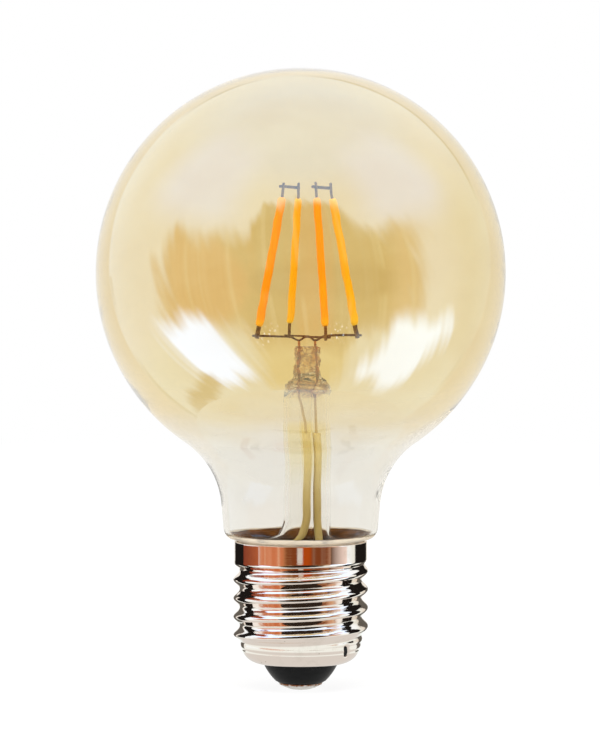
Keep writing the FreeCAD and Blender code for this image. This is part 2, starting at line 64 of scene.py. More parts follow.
def smooth(value: Array, low: float, high: float) -> Array:
    """Rises from 0 at low to 1 at high with level ends (3t^2 - 2t^3).

    Args:
        value: Numbers to map.
        low: Where the rise begins.
        high: Where the rise ends.

    Returns:
        Shares from 0 to 1, shaped as value.
    """
    share = np.clip((value - low) / (high - low), 0.0, 1.0)
    return share * share * (3.0 - 2.0 * share)


def ripple(value: Array, seed: float) -> Array:
    """Three sines of unlike pitch added up, about -1 to 1: an even, repeatable unevenness.

    Args:
        value: Phase in radians.
        seed: Shifts the sines against each other.

    Returns:
        The sum, shaped as value.
    """
    first = np.sin(value + 1.7 * seed)
    second = np.sin(2.3 * value + 4.1 * seed + 0.6)
    third = np.sin(4.9 * value + 7.9 * seed + 2.2)
    return 0.5 * first + 0.3 * second + 0.2 * third


def polar(radius: float, degrees: float, height: float = 0.0) -> Array:
    """A point at a radius and an angle about the lamp's axis."""
    angle = math.radians(degrees)
    return np.array([radius * math.cos(angle), radius * math.sin(angle), height])


def angles(columns: int) -> Array:
    """Even steps round a circle, in radians."""
    return np.arange(columns) * 2 * math.pi / columns


def unit(vector: Array) -> Array:
    """The vector, or each row of vectors, at length 1."""
    return vector / np.linalg.norm(vector, axis=-1, keepdims=True)


def arc(centre: tuple[float, float], radius: float, start_deg: float, end_deg: float, count: int) -> Array:
    """Points of an arc in the (radius, height) plane: centre + radius (cos a, sin a), a in even steps.

    Args:
        centre: Radius and height of the arc's centre.
        radius: The arc's own radius.
        start_deg: First angle.
        end_deg: Last angle.
        count: How many points.

    Returns:
        A (count, 2) array.
    """
    angle = np.radians(np.linspace(start_deg, end_deg, count))
    return np.stack([centre[0] + radius * np.cos(angle), centre[1] + radius * np.sin(angle)], axis=1)


def run(start: tuple[float, float], end: tuple[float, float], count: int) -> Array:
    """Even points of a straight line in the (radius, height) plane."""
    return np.linspace(np.array(start, float), np.array(end, float), count)


def bowed(start: tuple[float, float], end: tuple[float, float], bulge: float, count: int) -> Array:
    """A line in the (radius, height) plane that bows out: 4 t (1 - t) bulge along its normal.

    Args:
        start: First radius and height.
        end: Last radius and height.
        bulge: How far its middle stands out.
        count: How many points.

    Returns:
        A (count, 2) array.
    """
    low, high = np.array(start, float), np.array(end, float)
    t = np.linspace(0, 1, count)[:, None]
    normal = unit(np.array([high[1] - low[1], low[0] - high[0]]))
    return low + (high - low) * t + normal * bulge * 4 * t * (1 - t)


@dataclass
class Grid:
    """A surface as points on a grid, in millimetres: rows along it, columns round it."""

    points: Array
    rows_meet: bool = False
    columns_meet: bool = True
    material: int = 0
    span: tuple[float, float] = (1.0, 1.0)

    def faces(self) -> tuple[Array, Array]:
        """Row number and column number of each face.

        Returns:
            Two (face rows, face columns) arrays.
        """
        rows, columns = self.points.shape[:2]
        i, j = np.meshgrid(
            np.arange(rows if self.rows_meet else rows - 1),
            np.arange(columns if self.columns_meet else columns - 1), indexing="ij")
        return i, j

    def quads(self) -> Array:
        """Corner numbers of each face: (i, j), (i, j+1), (i+1, j+1), (i+1, j), wrapped where the sides meet.

        Returns:
            A (faces, 4) array.
        """
        rows, columns = self.points.shape[:2]
        i, j = self.faces()
        down, right = (i + 1) % rows, (j + 1) % columns
        corners = [i * columns + j, i * columns + right, down * columns + right, down * columns + j]
        return np.stack(corners, axis=-1).reshape(-1, 4)

    def uv(self) -> Array:
        """Share round and share along of each face corner, times the span, so that a seam doesn't fold back.

        Returns:
            A (4 x faces, 2) array.
        """
        i, j = self.faces()
        u = np.stack([j, j + 1, j + 1, j], axis=-1) / i.shape[1] * self.span[0]
        v = np.stack([i, i, i + 1, i + 1], axis=-1) / i.shape[0] * self.span[1]
        return np.stack([u, v], axis=-1).reshape(-1, 2)


def lathe(profile: Array, columns: int, centre: Array | None = None) -> Grid:
    """Turns a profile about Z: (r cos a, r sin a, z) for every profile point and every angle a.

    Args:
        profile: (rows, 2) radii and heights.
        columns: Steps round the axis.
        centre: Moves the axis, or None for the lamp's own.

    Returns:
        The turned surface.
    """
    angle = angles(columns)
    radius, height = profile[:, :1], profile[:, 1:]
    points = np.stack([
        radius * np.cos(angle), radius * np.sin(angle), height + 0 * angle], axis=-1)
    return Grid(points if centre is None else points + centre)


def oval(columns: int, power: Array | float = 2.0) -> tuple[Array, Array]:
    """The unit ring |x|^p + |y|^p = 1 at even angles: x = sign(cos a)|cos a|^(2/p), y likewise with sin.

    Args:
        columns: Points round the ring.
        power: p, 2 for a circle and more for a squarer ring; an array gives a ring for each row.

    Returns:
        Its x and y.
    """
    angle = angles(columns)
    share = 2.0 / np.asarray(power, float)
    x = np.sign(np.cos(angle)) * np.abs(np.cos(angle)) ** share
    y = np.sign(np.sin(angle)) * np.abs(np.sin(angle)) ** share
    return x, y


def bent(stops: list[Array], bend: float, count: int) -> Array:
    """A path through stops with each inner corner rounded by a parabola, at even arc length.

    Each corner C becomes (1-t)^2 A + 2t(1-t) C + t^2 B, with A and B a reach away along its two runs.

    Args:
        stops: The corners in order.
        bend: Reach of the rounding, cut to 0.45 of the shorter run.
        count: Points of the path.

    Returns:
        A (count, 3) array.
    """
    stops = [np.asarray(stop, float) for stop in stops]
    t = np.linspace(0, 1, 12)[:, None]
    pieces = [stops[0][None]]
    for before, corner, after in zip(stops, stops[1:], stops[2:]):
        back, ahead = before - corner, after - corner
        reach = min(bend, 0.45 * np.linalg.norm(back), 0.45 * np.linalg.norm(ahead))
        start, end = corner + unit(back) * reach, corner + unit(ahead) * reach
        pieces.append((1 - t) ** 2 * start + 2 * t * (1 - t) * corner + t ** 2 * end)
    points = np.vstack(pieces + [stops[-1][None]])
    return even(points, np.linspace(0, 1, count))


def even(points: Array, shares: Array) -> Array:
    """Points at given shares of a path's length, by straight interpolation along it.

    Args:
        points: (n, 3) path.
        shares: Where to read it, from 0 to 1.

    Returns:
        A (len(shares), 3) array.
    """
    steps = np.linalg.norm(np.diff(points, axis=0), axis=1)
    length = np.concatenate([[0.0], np.cumsum(steps)])
    wanted = np.asarray(shares) * length[-1]
    return np.stack([np.interp(wanted, length, points[:, k]) for k in range(3)], axis=1)


def carried(path: Array, ring_x: Array, ring_y: Array, across: Array) -> Array:
    """Carries a ring along a path: path + x side + y lift, with side = across made square to the path.

    Args:
        path: (rows, 3) centre line.
        ring_x: (rows, columns) or (columns,) offsets along the side.
        ring_y: The same along the lift, which is path direction x side.
        across: Direction that the side follows; it never runs along the path.

    Returns:
        (rows, columns, 3) points.
    """
    along = unit(np.gradient(path, axis=0))
    side = unit(across - along * (along @ across)[:, None])
    lift = np.cross(along, side)
    rows = np.ones((len(path), 1))
    return (path[:, None] + (rows * ring_x)[..., None] * side[:, None]
            + (rows * ring_y)[..., None] * lift[:, None])


def strut(path: Array, along: Array, across: Array, ring_x: Array, ring_y: Array) -> Array:
    """Carries a ring along a straight path: path + x side + y lift, with side = across made square to it.

    Args:
        path: (rows, 3) centre line.
        along: Its direction.
        across: Direction that the side follows.
        ring_x: (rows, columns) offsets along the side.
        ring_y: The same along the lift.

    Returns:
        (rows, columns, 3) points.
    """
    side = unit(across - along * (along @ across))
    lift = np.cross(along, side)
    return path[:, None] + ring_x[..., None] * side + ring_y[..., None] * lift


def wire(stops: list[Array], diameter: float, bend: float, across: Array, count: int = 120) -> Grid:
    """A round wire with rounded ends: rings of radius r sqrt(1 - (1 - s/r)^2) within r of an end.

    Args:
        stops: Corners of its centre line.
        diameter: Its thickness.
        bend: Reach of its rounded corners.
        across: A direction that it never runs along.
        count: Rings along it.

    Returns:
        The closed tube.
    """
    path = bent(stops, bend, WIRE_STEPS)
    length = np.linalg.norm(np.diff(path, axis=0), axis=1).sum()
    radius = diameter / 2
    cap = radius * (1 - np.cos(np.linspace(0, math.pi / 2, 7)[:-1]))
    middle = np.linspace(radius, length - radius, count)
    travel = np.concatenate([cap, middle, length - cap[::-1]])
    near = np.minimum(np.minimum(travel, length - travel), radius)
    thick = np.sqrt(np.maximum(0.0, radius ** 2 - (radius - near) ** 2))[:, None]
    x, y = oval(WIRE_COLUMNS)
    return Grid(carried(even(path, travel / length), x * thick, y * thick, across),
                span=(math.pi * diameter, length))


def make_piece(name: str, grids: list[Grid], finishes: list["Finish"], node: str,
               sharp_deg: float = 50.0) -> bpy.types.Object:
    """Puts grids into one mesh object at the origin, faces outward, and ties it to the frame.

    Args:
        name: The piece's name.
        grids: Its surfaces, closed together.
        finishes: Materials in the order of the grids' material numbers.
        node: The CAD node that it stands for.
        sharp_deg: Edges that turn more than this stay crisp.

    Returns:
        The object.
    """
    starts = np.cumsum([0] + [g.points.shape[0] * g.points.shape[1] for g in grids])
    points = np.vstack([g.points.reshape(-1, 3) for g in grids]) * MM
    quads = np.vstack([g.quads() + start for g, start in zip(grids, starts)])
    number = np.concatenate([np.full(len(g.quads()), g.material) for g in grids])
    uv = np.vstack([g.uv() for g in grids])
    a, b, c, d = (points[quads[:, k]] for k in range(4))
    volume = (np.cross(a, b) * c).sum() + (np.cross(a, c) * d).sum()
    if volume < 0:
        quads = quads[:, ::-1]
        uv = uv.reshape(-1, 4, 2)[:, ::-1].reshape(-1, 2)
    merged, back = np.unique(np.round(points, 9), axis=0, return_inverse=True)
    quads = back.reshape(-1)[quads]
    mesh = bpy.data.meshes.new(name)
    faces, corners, kept = drop_doubles(quads)
    mesh.from_pydata(merged, [], faces)
    layer = mesh.uv_layers.new(name="wrap")
    layer.data.foreach_set("uv", uv[corners].astype(np.float32).ravel())
    mesh.polygons.foreach_set("material_index", number[kept].astype(np.int32))
    mesh.polygons.foreach_set("use_smooth", np.ones(len(mesh.polygons), bool))
    mesh.set_sharp_from_angle(angle=math.radians(sharp_deg))
    for finish in finishes:
        mesh.materials.append(finish.material())
    mesh.update()
    piece = bpy.data.objects.new(name, mesh)
    bpy.context.scene.collection.objects.link(piece)
    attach(piece, "root")
    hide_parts(node)
    log.info("%s: %d faces", name, len(mesh.polygons))
    return piece


def drop_doubles(quads: Array) -> tuple[list[list[int]], Array, Array]:
    """Turns quads with two equal corners, as at a pole, into triangles, and drops flat ones.

    Args:
        quads: (n, 4) corner numbers.

    Returns:
        Faces as lists, the corner rows that they keep, and the face rows that they keep.
    """
    same = quads == np.roll(quads, -1, axis=1)
    count = same.sum(axis=1)
    kept = np.flatnonzero(count <= 1)
    wanted = ~same[kept]
    corners = np.flatnonzero(wanted.ravel())
    rows, columns = np.divmod(corners, 4)
    sizes = wanted.sum(axis=1)
    split = np.split(quads[kept][rows, columns], np.cumsum(sizes)[:-1])
    return [part.tolist() for part in split], kept[rows] * 4 + columns, kept


# Shader graphs and finishes


class Value:
    """A number socket; Python operators on it add Math nodes."""

    def __init__(self, graph: "Graph", socket: Socket) -> None:
        """Wraps one socket of a graph."""
        self.graph = graph
        self.socket = socket

    def math(self, operation: str, first: "Value | float", second: "Value | float") -> "Value":
        """One Math node of two numbers."""
        node = self.graph.node("ShaderNodeMath", {"operation": operation}, {0: first, 1: second})
        return Value(self.graph, node.outputs[0])

    def __add__(self, other: "Value | float") -> "Value":
        """self + other."""
        return self.math("ADD", self, other)

    def __radd__(self, other: float) -> "Value":
        """other + self."""
        return self.math("ADD", other, self)

    def __sub__(self, other: "Value | float") -> "Value":
        """self - other."""
        return self.math("SUBTRACT", self, other)

    def __rsub__(self, other: float) -> "Value":
        """other - self."""
        return self.math("SUBTRACT", other, self)

    def __mul__(self, other: "Value | float") -> "Value":
        """self x other."""
        return self.math("MULTIPLY", self, other)

    def __rmul__(self, other: float) -> "Value":
        """other x self."""
        return self.math("MULTIPLY", other, self)

    def __pow__(self, other: "Value | float") -> "Value":
        """self to the power of other."""
        return self.math("POWER", self, other)

    def sine(self) -> "Value":
        """Its sine, in radians."""
        return self.math("SINE", self, 0.0)

    def size(self) -> "Value":
        """Its size without its sign."""
        return self.math("ABSOLUTE", self, 0.0)

    def greater(self, other: "Value | float") -> "Value":
        """The larger of two numbers."""
        return self.math("MAXIMUM", self, other)

    def smooth(self, low: float, high: float) -> "Value":
        """0 at low to 1 at high with level ends."""
        node = self.graph.node("ShaderNodeMapRange", {"interpolation_type": "SMOOTHSTEP"},
                               {0: self, 1: low, 2: high, 3: 0.0, 4: 1.0})
        return Value(self.graph, node.outputs[0])


Link = Value | Socket


class Graph:
    """One material's node tree, built through one node method."""

    def __init__(self, tree: bpy.types.NodeTree) -> None:
        """Takes over a tree and clears it."""
        self.tree = tree
        tree.nodes.clear()

    def node(self, kind: str, settings: dict | None = None, sockets: dict | None = None) -> bpy.types.Node:
        """Adds a node.

        Args:
            kind: Blender's node type.
            settings: Properties, set first.
            sockets: Values or links by socket name or number.

        Returns:
            The node.
        """
        node = self.tree.nodes.new(kind)
        for name, value in (settings or {}).items():
            setattr(node, name, value)
        for name, value in (sockets or {}).items():
            if isinstance(value, Value):
                value = value.socket
            if isinstance(value, Socket):
                self.tree.links.new(value, node.inputs[name])
            else:
                node.inputs[name].default_value = value
        return node

    def place(self) -> Socket:
        """The point on the object, in millimetres."""
        sockets = {0: self.node("ShaderNodeTexCoord").outputs["Object"], "Scale": 1 / MM}
        return self.node("ShaderNodeVectorMath", {"operation": "SCALE"}, sockets).outputs[0]

    def wrap(self) -> Socket:
        """The piece's own UV, in millimetres round and along."""
        return self.node("ShaderNodeUVMap", {"uv_map": "wrap"}).outputs[0]

    def axes(self, vector: Socket) -> list[Value]:
        """The three parts of a vector."""
        node = self.node("ShaderNodeSeparateXYZ", {}, {0: vector})
        return [Value(self, socket) for socket in node.outputs]

    def noise(self, vector: Socket, scale: float, detail: float = 3.0, rough: float = 0.55) -> Value:
        """Soft noise, about 0 to 1, with features 1/scale across."""
        node = self.node("ShaderNodeTexNoise", {},
                         {"Vector": vector, "Scale": scale, "Detail": detail, "Roughness": rough})
        return Value(self, node.outputs[0])

    def drawn(self, vector: Socket, scale: Colour, detail: float = 3.0, rough: float = 0.55) -> Value:
        """Noise drawn out by axis, with features 1/scale across along each."""
        stretched = self.node("ShaderNodeMapping", {}, {"Vector": vector, "Scale": scale}).outputs[0]
        return self.noise(stretched, 1.0, detail, rough)

    def cells(self, vector: Socket, scale: float) -> Value:
        """Distance to the nearest of scattered points."""
        node = self.node("ShaderNodeTexVoronoi", {}, {"Vector": vector, "Scale": scale})
        return Value(self, node.outputs[0])

    def mix(self, share: Link | float, first: Link | Colour, second: Link | Colour) -> Socket:
        """A blend of two colours.

        Args:
            share: How much of the second shows.
            first: Colour or link.
            second: Colour or link.

        Returns:
            The blend's socket.
        """
        sides = [(*side, 1.0) if isinstance(side, tuple) else side for side in (first, second)]
        node = self.node("ShaderNodeMix", {"data_type": "RGBA"}, {0: share, 6: sides[0], 7: sides[1]})
        return node.outputs[2]

    def bump(self, height: Value, depth_mm: float) -> Socket:
        """A normal from a height of 0 to 1 that stands for a depth in millimetres."""
        sockets = {"Height": height, "Distance": depth_mm * MM, "Strength": 1.0}
        return self.node("ShaderNodeBump", {}, sockets).outputs[0]

    def surface(self, fixed: dict, varied: dict) -> None:
        """Ends the graph in a Principled shader.

        Args:
            fixed: Constants on the shader's own sockets.
            varied: Links that change over the surface.
        """
        shader = self.node("ShaderNodeBsdfPrincipled", {}, {**fixed, **varied})
        self.node("ShaderNodeOutputMaterial", {}, {"Surface": shader.outputs[0]})

    def layered(self, share: Value, under: dict, over: dict) -> None:
        """Ends the graph in two Principled shaders, the second laid over the first by a share.

        Args:
            share: How much of the upper layer shows.
            under: Sockets of the lower layer.
            over: Sockets of the upper layer.
        """
        low = self.node("ShaderNodeBsdfPrincipled", {}, under)
        high = self.node("ShaderNodeBsdfPrincipled", {}, over)
        both = self.node("ShaderNodeMixShader", {}, {0: share, 1: low.outputs[0], 2: high.outputs[0]})
        self.node("ShaderNodeOutputMaterial", {}, {"Surface": both.outputs[0]})


class Finish:
    """A material that is made once and shared. Its label names it, and each kind draws its own graph."""

    label: str
    made: dict[str, bpy.types.Material] = {}

    def material(self) -> bpy.types.Material:
        """The finished material, drawn at its first use.

        Returns:
            The same material for finishes that are alike.
        """
        key = repr(self)
        if key not in Finish.made:
            made = bpy.data.materials.new(self.label)
            made.use_nodes = True
            self.draw(Graph(made.node_tree))
            Finish.made[key] = made
        return Finish.made[key]

    def draw(self, graph: Graph) -> None:
        """Fills the node tree."""
        raise NotImplementedError


@dataclass(frozen=True)
class AmberGlass(Finish):
    """Blown glass with an amber film that thins out to clear glass at the neck, and a frosted foot whose pale
    colour is a painted reflection with a painted glow.
    """

    label: str = "amber_film_glass"
    amber: Colour = (0.805, 0.615, 0.241)
    deep: Colour = (0.762, 0.552, 0.184)
    clear: Colour = (0.815, 0.785, 0.715)
    fade_low: float = 46.0
    fade_high: float = 59.5
    ragged: float = 8.0
    # The foot's pale colours and its glow: a painted reflection and a painted glow.
    frost: Colour = (0.66, 0.57, 0.44)
    band_mottle: Colour = (0.36, 0.32, 0.27)
    pale_band_top: float = 30.45

    def draw(self, graph: Graph) -> None:
        """Tint by height with a ragged edge, cloudy film, faint ripples; the foot is ground dull and pale:
        its pale colour is a painted reflection and its faint glow a painted glow.

        The film mirrors more than bare glass does, on its outer side only.

        Args:
            graph: The material's empty node tree.
        """
        place = graph.place()
        z = graph.axes(place)[2]
        edge = graph.drawn(place, (0.06, 0.06, 0.16), 4.0) - 0.5
        film = (z + edge * self.ragged).smooth(self.fade_low, self.fade_high)
        cloud = graph.drawn(place, (0.05, 0.05, 0.08), 3.0).smooth(0.35, 0.65)
        amber = graph.mix(cloud, self.amber, self.deep)
        ripples = graph.drawn(place, (0.05, 0.05, 0.2), 1.0)
        back = Value(graph, graph.node("ShaderNodeNewGeometry").outputs["Backfacing"])
        coat = film * z.smooth(49.0, 60.0) * (1.0 - back) * 0.95 + 0.02
        # The foot's dull pale band is a painted reflection; its emission below is a painted glow.
        band_noise = graph.drawn(place, (0.3, 0.3, 1.2), 3.0)
        foot = 1.0 - (z + (band_noise - 0.5) * 0.3).smooth(self.pale_band_top - 0.12, self.pale_band_top + 0.12)
        graph.layered(
            foot,
            {"Roughness": 0.0, "IOR": 1.5, "Transmission Weight": 1.0, "Coat IOR": 2.8, "Coat Roughness": 0.0,
             "Specular Tint": (0.4, 0.4, 0.4, 1.0),
             "Base Color": graph.mix(film, self.clear, amber), "Coat Weight": coat,
             "Normal": graph.bump(ripples, 0.12)},
            {"Base Color": graph.mix(band_noise.smooth(0.45, 0.7), self.frost, self.band_mottle),
             "Roughness": band_noise * 0.3 + 0.3, "IOR": 1.5,
             "Emission Color": (*self.frost, 1.0), "Emission Strength": 0.2})


@dataclass(frozen=True)
class BareGlass(Finish):
    """The bulb's inner face: clear glass, with a dark brown painted shade at the neck's foot for the shaded
    inside of the cap seen through it.
    """

    label: str = "bare_glass"
    clear: Colour = (0.99, 0.99, 0.985)
    cloudy: Colour = (0.96, 0.955, 0.94)
    # The stain colours are painted shade, dark brown with lighter mottles, for the shaded inside of the cap
    # seen through the neck.
    stain: Colour = (0.066, 0.023, 0.003)
    light_painted_shade: Colour = (0.150, 0.055, 0.008)
    painted_shade_top: float = 30.5

    def draw(self, graph: Graph) -> None:
        """Lays a dull brown painted shade over clear glass below a ragged line.

        Args:
            graph: The material's empty node tree.
        """
        place = graph.place()
        z = graph.axes(place)[2]
        drift = graph.drawn(place, (0.14, 0.14, 0.3), 3.0)
        shade_mottle = graph.drawn(place, (0.35, 0.35, 0.1), 3.0)
        # Painted shade on the inner face below a ragged line.
        share = 1.0 - (z + (drift - 0.5) * 0.5).smooth(self.painted_shade_top - 0.12, self.painted_shade_top + 0.12)
        graph.layered(
            share,
            {"Base Color": graph.mix(drift * 0.5, self.clear, self.cloudy), "Roughness": 0.0, "IOR": 1.5,
             "Transmission Weight": 1.0, "Specular Tint": (0.15, 0.15, 0.15, 1.0)},
            {"Base Color": graph.mix(shade_mottle.smooth(0.35, 0.7), self.stain, self.light_painted_shade),
             "Roughness": shade_mottle * 0.3 + 0.5, "Specular IOR Level": 0.05})


@dataclass(frozen=True)
class ClearGlass(Finish):
    """Drawn clear glass with a trace of colour and long soft cords in it."""

    label: str = "press_glass"
    tint: Colour = (0.985, 0.98, 0.965)
    cord: Colour = (0.95, 0.94, 0.905)
    gold: Colour = (0.985, 0.945, 0.78)
    honey: Colour = (0.58, 0.31, 0.065)
    # Dark brown of the veins and side edges: partly the seal's own colour, partly painted shade.
    burnt_and_shade: Colour = (0.120, 0.016, 0.001)
    press_x: float = MOUNT_X
    burnt_low: float = 57.4
    burnt_high: float = 60.4
    bend: float = 1.5

    def draw(self, graph: Graph) -> None:
        """Faint lengthwise cords, a golden band, and honey smoke and dark veins where the leads are sealed;
        the veins are partly the seal's own brown and partly painted shade, and the press's lower side edges
        get a painted dark outline.

        Args:
            graph: The material's empty node tree.
        """
        place = graph.place()
        x, _, z = graph.axes(place)
        cords = graph.drawn(place, (0.5, 0.5, 0.05), 2.0)
        smoke = graph.drawn(place, (0.9, 0.9, 0.5), 4.0, 0.65)
        vein = 1.0 - (graph.drawn(place, (0.7, 0.7, 0.6), 2.0) - 0.5).size().smooth(0.0, 0.045)
        heat = z.smooth(self.burnt_low, self.burnt_high)
        # Painted shade: dark outlines on the press's lower side edges for the dark surroundings seen through
        # the glass there.
        painted_edge_shade = (x - self.press_x).size().smooth(2.5, 3.4)
        painted_edge_shade = painted_edge_shade * z.smooth(58.9, 59.7) * (1.0 - z.smooth(61.6, 62.8))
        painted_edge_shade = painted_edge_shade * smoke.smooth(0.36, 0.52) * 0.85
        band = z.smooth(37.0, 51.0) * (1.0 - z.smooth(50.5, 53.5))
        drawn = graph.mix(band, graph.mix(cords.smooth(0.4, 0.75), self.tint, self.cord), self.gold)
        smoked = graph.mix(heat * (smoke.smooth(0.40, 0.62) * 0.7 + 0.3), drawn, self.honey)
        graph.surface(
            {"Roughness": 0.0, "IOR": self.bend, "Transmission Weight": 1.0},
            {"Base Color": graph.mix((heat * vein * 0.9).greater(painted_edge_shade), smoked, self.burnt_and_shade)})


@dataclass(frozen=True)
class SealedLead(Finish):
    """Lead wire: copper-brown where it is sealed into the press, pale and tinned below."""

    label: str = "sealed_lead"
    tinned: Colour = (0.86, 0.74, 0.50)
    copper: Colour = (0.78, 0.31, 0.07)
    oxide: Colour = (0.26, 0.085, 0.02)
    seal_low: float = 57.5
    seal_high: float = 59.5

    def draw(self, graph: Graph) -> None:
        """Oxide patches on the copper, a soft change to tin by height, fine drawing marks.

        Args:
            graph: The material's empty node tree.
        """
        place = graph.place()
        z = graph.axes(place)[2]
        patch = graph.noise(place, 1.2, 4.0, 0.65)
        grain = graph.noise(place, 12.0, 3.0)
        heat = (z + (patch - 0.5) * 1.5).smooth(self.seal_low, self.seal_high)
        copper = graph.mix(patch.smooth(0.4, 0.65), self.copper, self.oxide)
        graph.surface(
            {"Metallic": 1.0},
            {"Base Color": graph.mix(heat, self.tinned, copper),
             "Roughness": patch * 0.25 + grain * 0.1 + 0.22, "Normal": graph.bump(grain, 0.02)})


@dataclass(frozen=True)
class Phosphor(Finish):
    """Phosphor in silicone: grainy, paler at the rod's ends, with a faint painted glow in its own colour,
    partly for its fluorescence in studio light.
    """

    label: str = "orange_phosphor"
    body: Colour = (1.0, 0.34, 0.001)
    pale: Colour = (1.0, 0.52, 0.006)
    low: float = 71.3
    high: float = 96.2

    def draw(self, graph: Graph) -> None:
        """Grain in colour, gloss and surface; paler within 2 mm of each end; the colour also glows faintly, a
        painted glow.

        Args:
            graph: The material's empty node tree.
        """
        place = graph.place()
        z = graph.axes(place)[2]
        grain = graph.noise(place, 5.0, 4.0, 0.7)
        drift = graph.drawn(place, (0.5, 0.5, 0.25), 2.0)
        ends = (1.0 - z.smooth(self.low, self.low + 2.2)).greater(z.smooth(self.high - 2.2, self.high))
        share = (drift * 0.5 + grain * 0.3 - 0.25).smooth(0.0, 0.5) * 0.55
        colour = graph.mix(share.greater(ends * 0.9), self.body, self.pale)
        # Painted glow: the rod gives off its own colour at a low strength.
        graph.surface(
            {"IOR": 1.43, "Coat Weight": 0.06, "Coat Roughness": 0.25, "Emission Strength": 0.36},
            {"Base Color": colour, "Emission Color": colour,
             "Roughness": grain * 0.25 + 0.35, "Normal": graph.bump(grain, 0.04)})


@dataclass(frozen=True)
class DrawnMetal(Finish):
    """Bare metal with patchy oxide and drawing marks."""

    label: str = "drawn_metal"
    bright: Colour = (0.62, 0.58, 0.52)
    oxide: Colour = (0.22, 0.17, 0.12)
    oxide_share: float = 0.5
    gloss: float = 0.3
    grain: float = 4.0

    def draw(self, graph: Graph) -> None:
        """Oxide patches darken and roughen the metal; fine grain lifts its surface.

        Args:
            graph: The material's empty node tree.
        """
        place = graph.place()
        patch = graph.noise(place, self.grain * 0.3, 4.0, 0.65)
        grain = graph.noise(place, self.grain * 3.0, 3.0)
        share = (patch + (self.oxide_share - 0.5)).smooth(0.35, 0.7)
        graph.surface(
            {"Metallic": 1.0},
            {"Base Color": graph.mix(share, self.bright, self.oxide),
             "Roughness": share * 0.25 + grain * 0.12 + self.gloss, "Normal": graph.bump(grain, 0.02)})


@dataclass(frozen=True)
class WovenSleeve(Finish):
    """Braided glass-fibre sleeve soaked in varnish."""

    label: str = "woven_sleeve"
    yarn: Colour = (0.70, 0.52, 0.17)
    gap: Colour = (0.42, 0.30, 0.085)
    pale: Colour = (0.98, 0.84, 0.42)
    pitch: float = 0.42

    def draw(self, graph: Graph) -> None:
        """Two crossed sets of slanted yarns, sin(u+v) and sin(u-v) over and under each other, paler upwards.

        Args:
            graph: The material's empty node tree.
        """
        u, v, _ = graph.axes(graph.wrap())
        turn = 2 * math.pi / self.pitch
        right = (u * turn + v * turn * 0.6).sine()
        left = (u * turn - v * turn * 0.6).sine()
        braid = (right * 0.5 + 0.5).greater(left * 0.5 + 0.5)
        place = graph.place()
        stain = graph.noise(place, 0.5, 3.0)
        dyed = graph.mix((braid * 0.8 + stain * 0.5).smooth(0.35, 1.1), self.gap, self.yarn)
        colour = graph.mix(graph.axes(place)[2].smooth(33.0, 50.0) * 0.85, dyed, self.pale)
        graph.surface({"IOR": 1.5, "Coat Weight": 0.08, "Coat Roughness": 0.3},
                      {"Base Color": colour, "Roughness": 0.75 - braid * 0.25,
                       "Normal": graph.bump(braid, 0.06)})


@dataclass(frozen=True)
class PlatedShell(Finish):
    """Bright nickel plate over rolled sheet: rolling lines, finger haze and small pits."""

    label: str = "nickel_plate"
    plate: Colour = (0.94, 0.84, 0.76)
    haze: Colour = (0.72, 0.65, 0.56)
    tarnish: Colour = (0.34, 0.28, 0.22)
    dent_dark: Colour = (0.020, 0.016, 0.013)
    dent_deg: float = DENT_DEG
    dent_z: float = DENT_Z

    def draw(self, graph: Graph) -> None:
        """Lines round the cap in gloss and surface, haze patches, specks of tarnish, and a near-black patch
        in the dent.

        Args:
            graph: The material's empty node tree.
        """
        place = graph.place()
        x, y, z = graph.axes(place)
        sine, cosine = math.sin(math.radians(self.dent_deg)), math.cos(math.radians(self.dent_deg))
        rise = z - self.dent_z
        across = (y * cosine - x * sine + rise * 0.25).size()
        # The staking dent is made near black.
        dent_dark = (1.0 - across.smooth(0.40, 0.60)) * (1.0 - rise.size().smooth(0.8, 1.05))
        dent_dark = dent_dark * (x * cosine + y * sine).smooth(8.0, 9.0)
        lines = graph.drawn(place, (0.12, 0.12, 9.0), 2.0)
        haze = graph.noise(place, 0.28, 4.0, 0.6).smooth(0.5, 0.8)
        specks = 1.0 - graph.cells(place, 0.55).smooth(0.05, 0.12)
        rare = specks * graph.noise(place, 0.9, 1.0).smooth(0.55, 0.62)
        colour = graph.mix(rare * 0.7, graph.mix(haze * 0.5, self.plate, self.haze), self.tarnish)
        graph.surface({"Metallic": 1.0},
                      {"Base Color": graph.mix(dent_dark * 0.96, colour, self.dent_dark),
                       "Roughness": haze * 0.07 + lines * 0.05 + rare * 0.2 + dent_dark * 0.4 + 0.035,
                       "Normal": graph.bump(lines, 0.006)})


@dataclass(frozen=True)
class Gritty(Finish):
    """A dull mineral or resin filling with grains and darker blotches."""

    label: str = "baked_cement"
    body: Colour = (0.15, 0.075, 0.035)
    grain: Colour = (0.26, 0.15, 0.075)
    size: float = 0.35
    depth: float = 0.08
    rough: float = 0.75

    def draw(self, graph: Graph) -> None:
        """Grains as cells, blotches as noise.

        Args:
            graph: The material's empty node tree.
        """
        place = graph.place()
        cells = graph.cells(place, 1.0 / self.size)
        blotch = graph.noise(place, 0.4, 4.0, 0.65)
        share = ((1.0 - cells) * 0.6 + blotch * 0.6).smooth(0.3, 0.9)
        graph.surface({"IOR": 1.5}, {"Base Color": graph.mix(share, self.body, self.grain),
                                     "Roughness": blotch * 0.2 + self.rough - 0.1,
                                     "Normal": graph.bump(1.0 - cells, self.depth)})


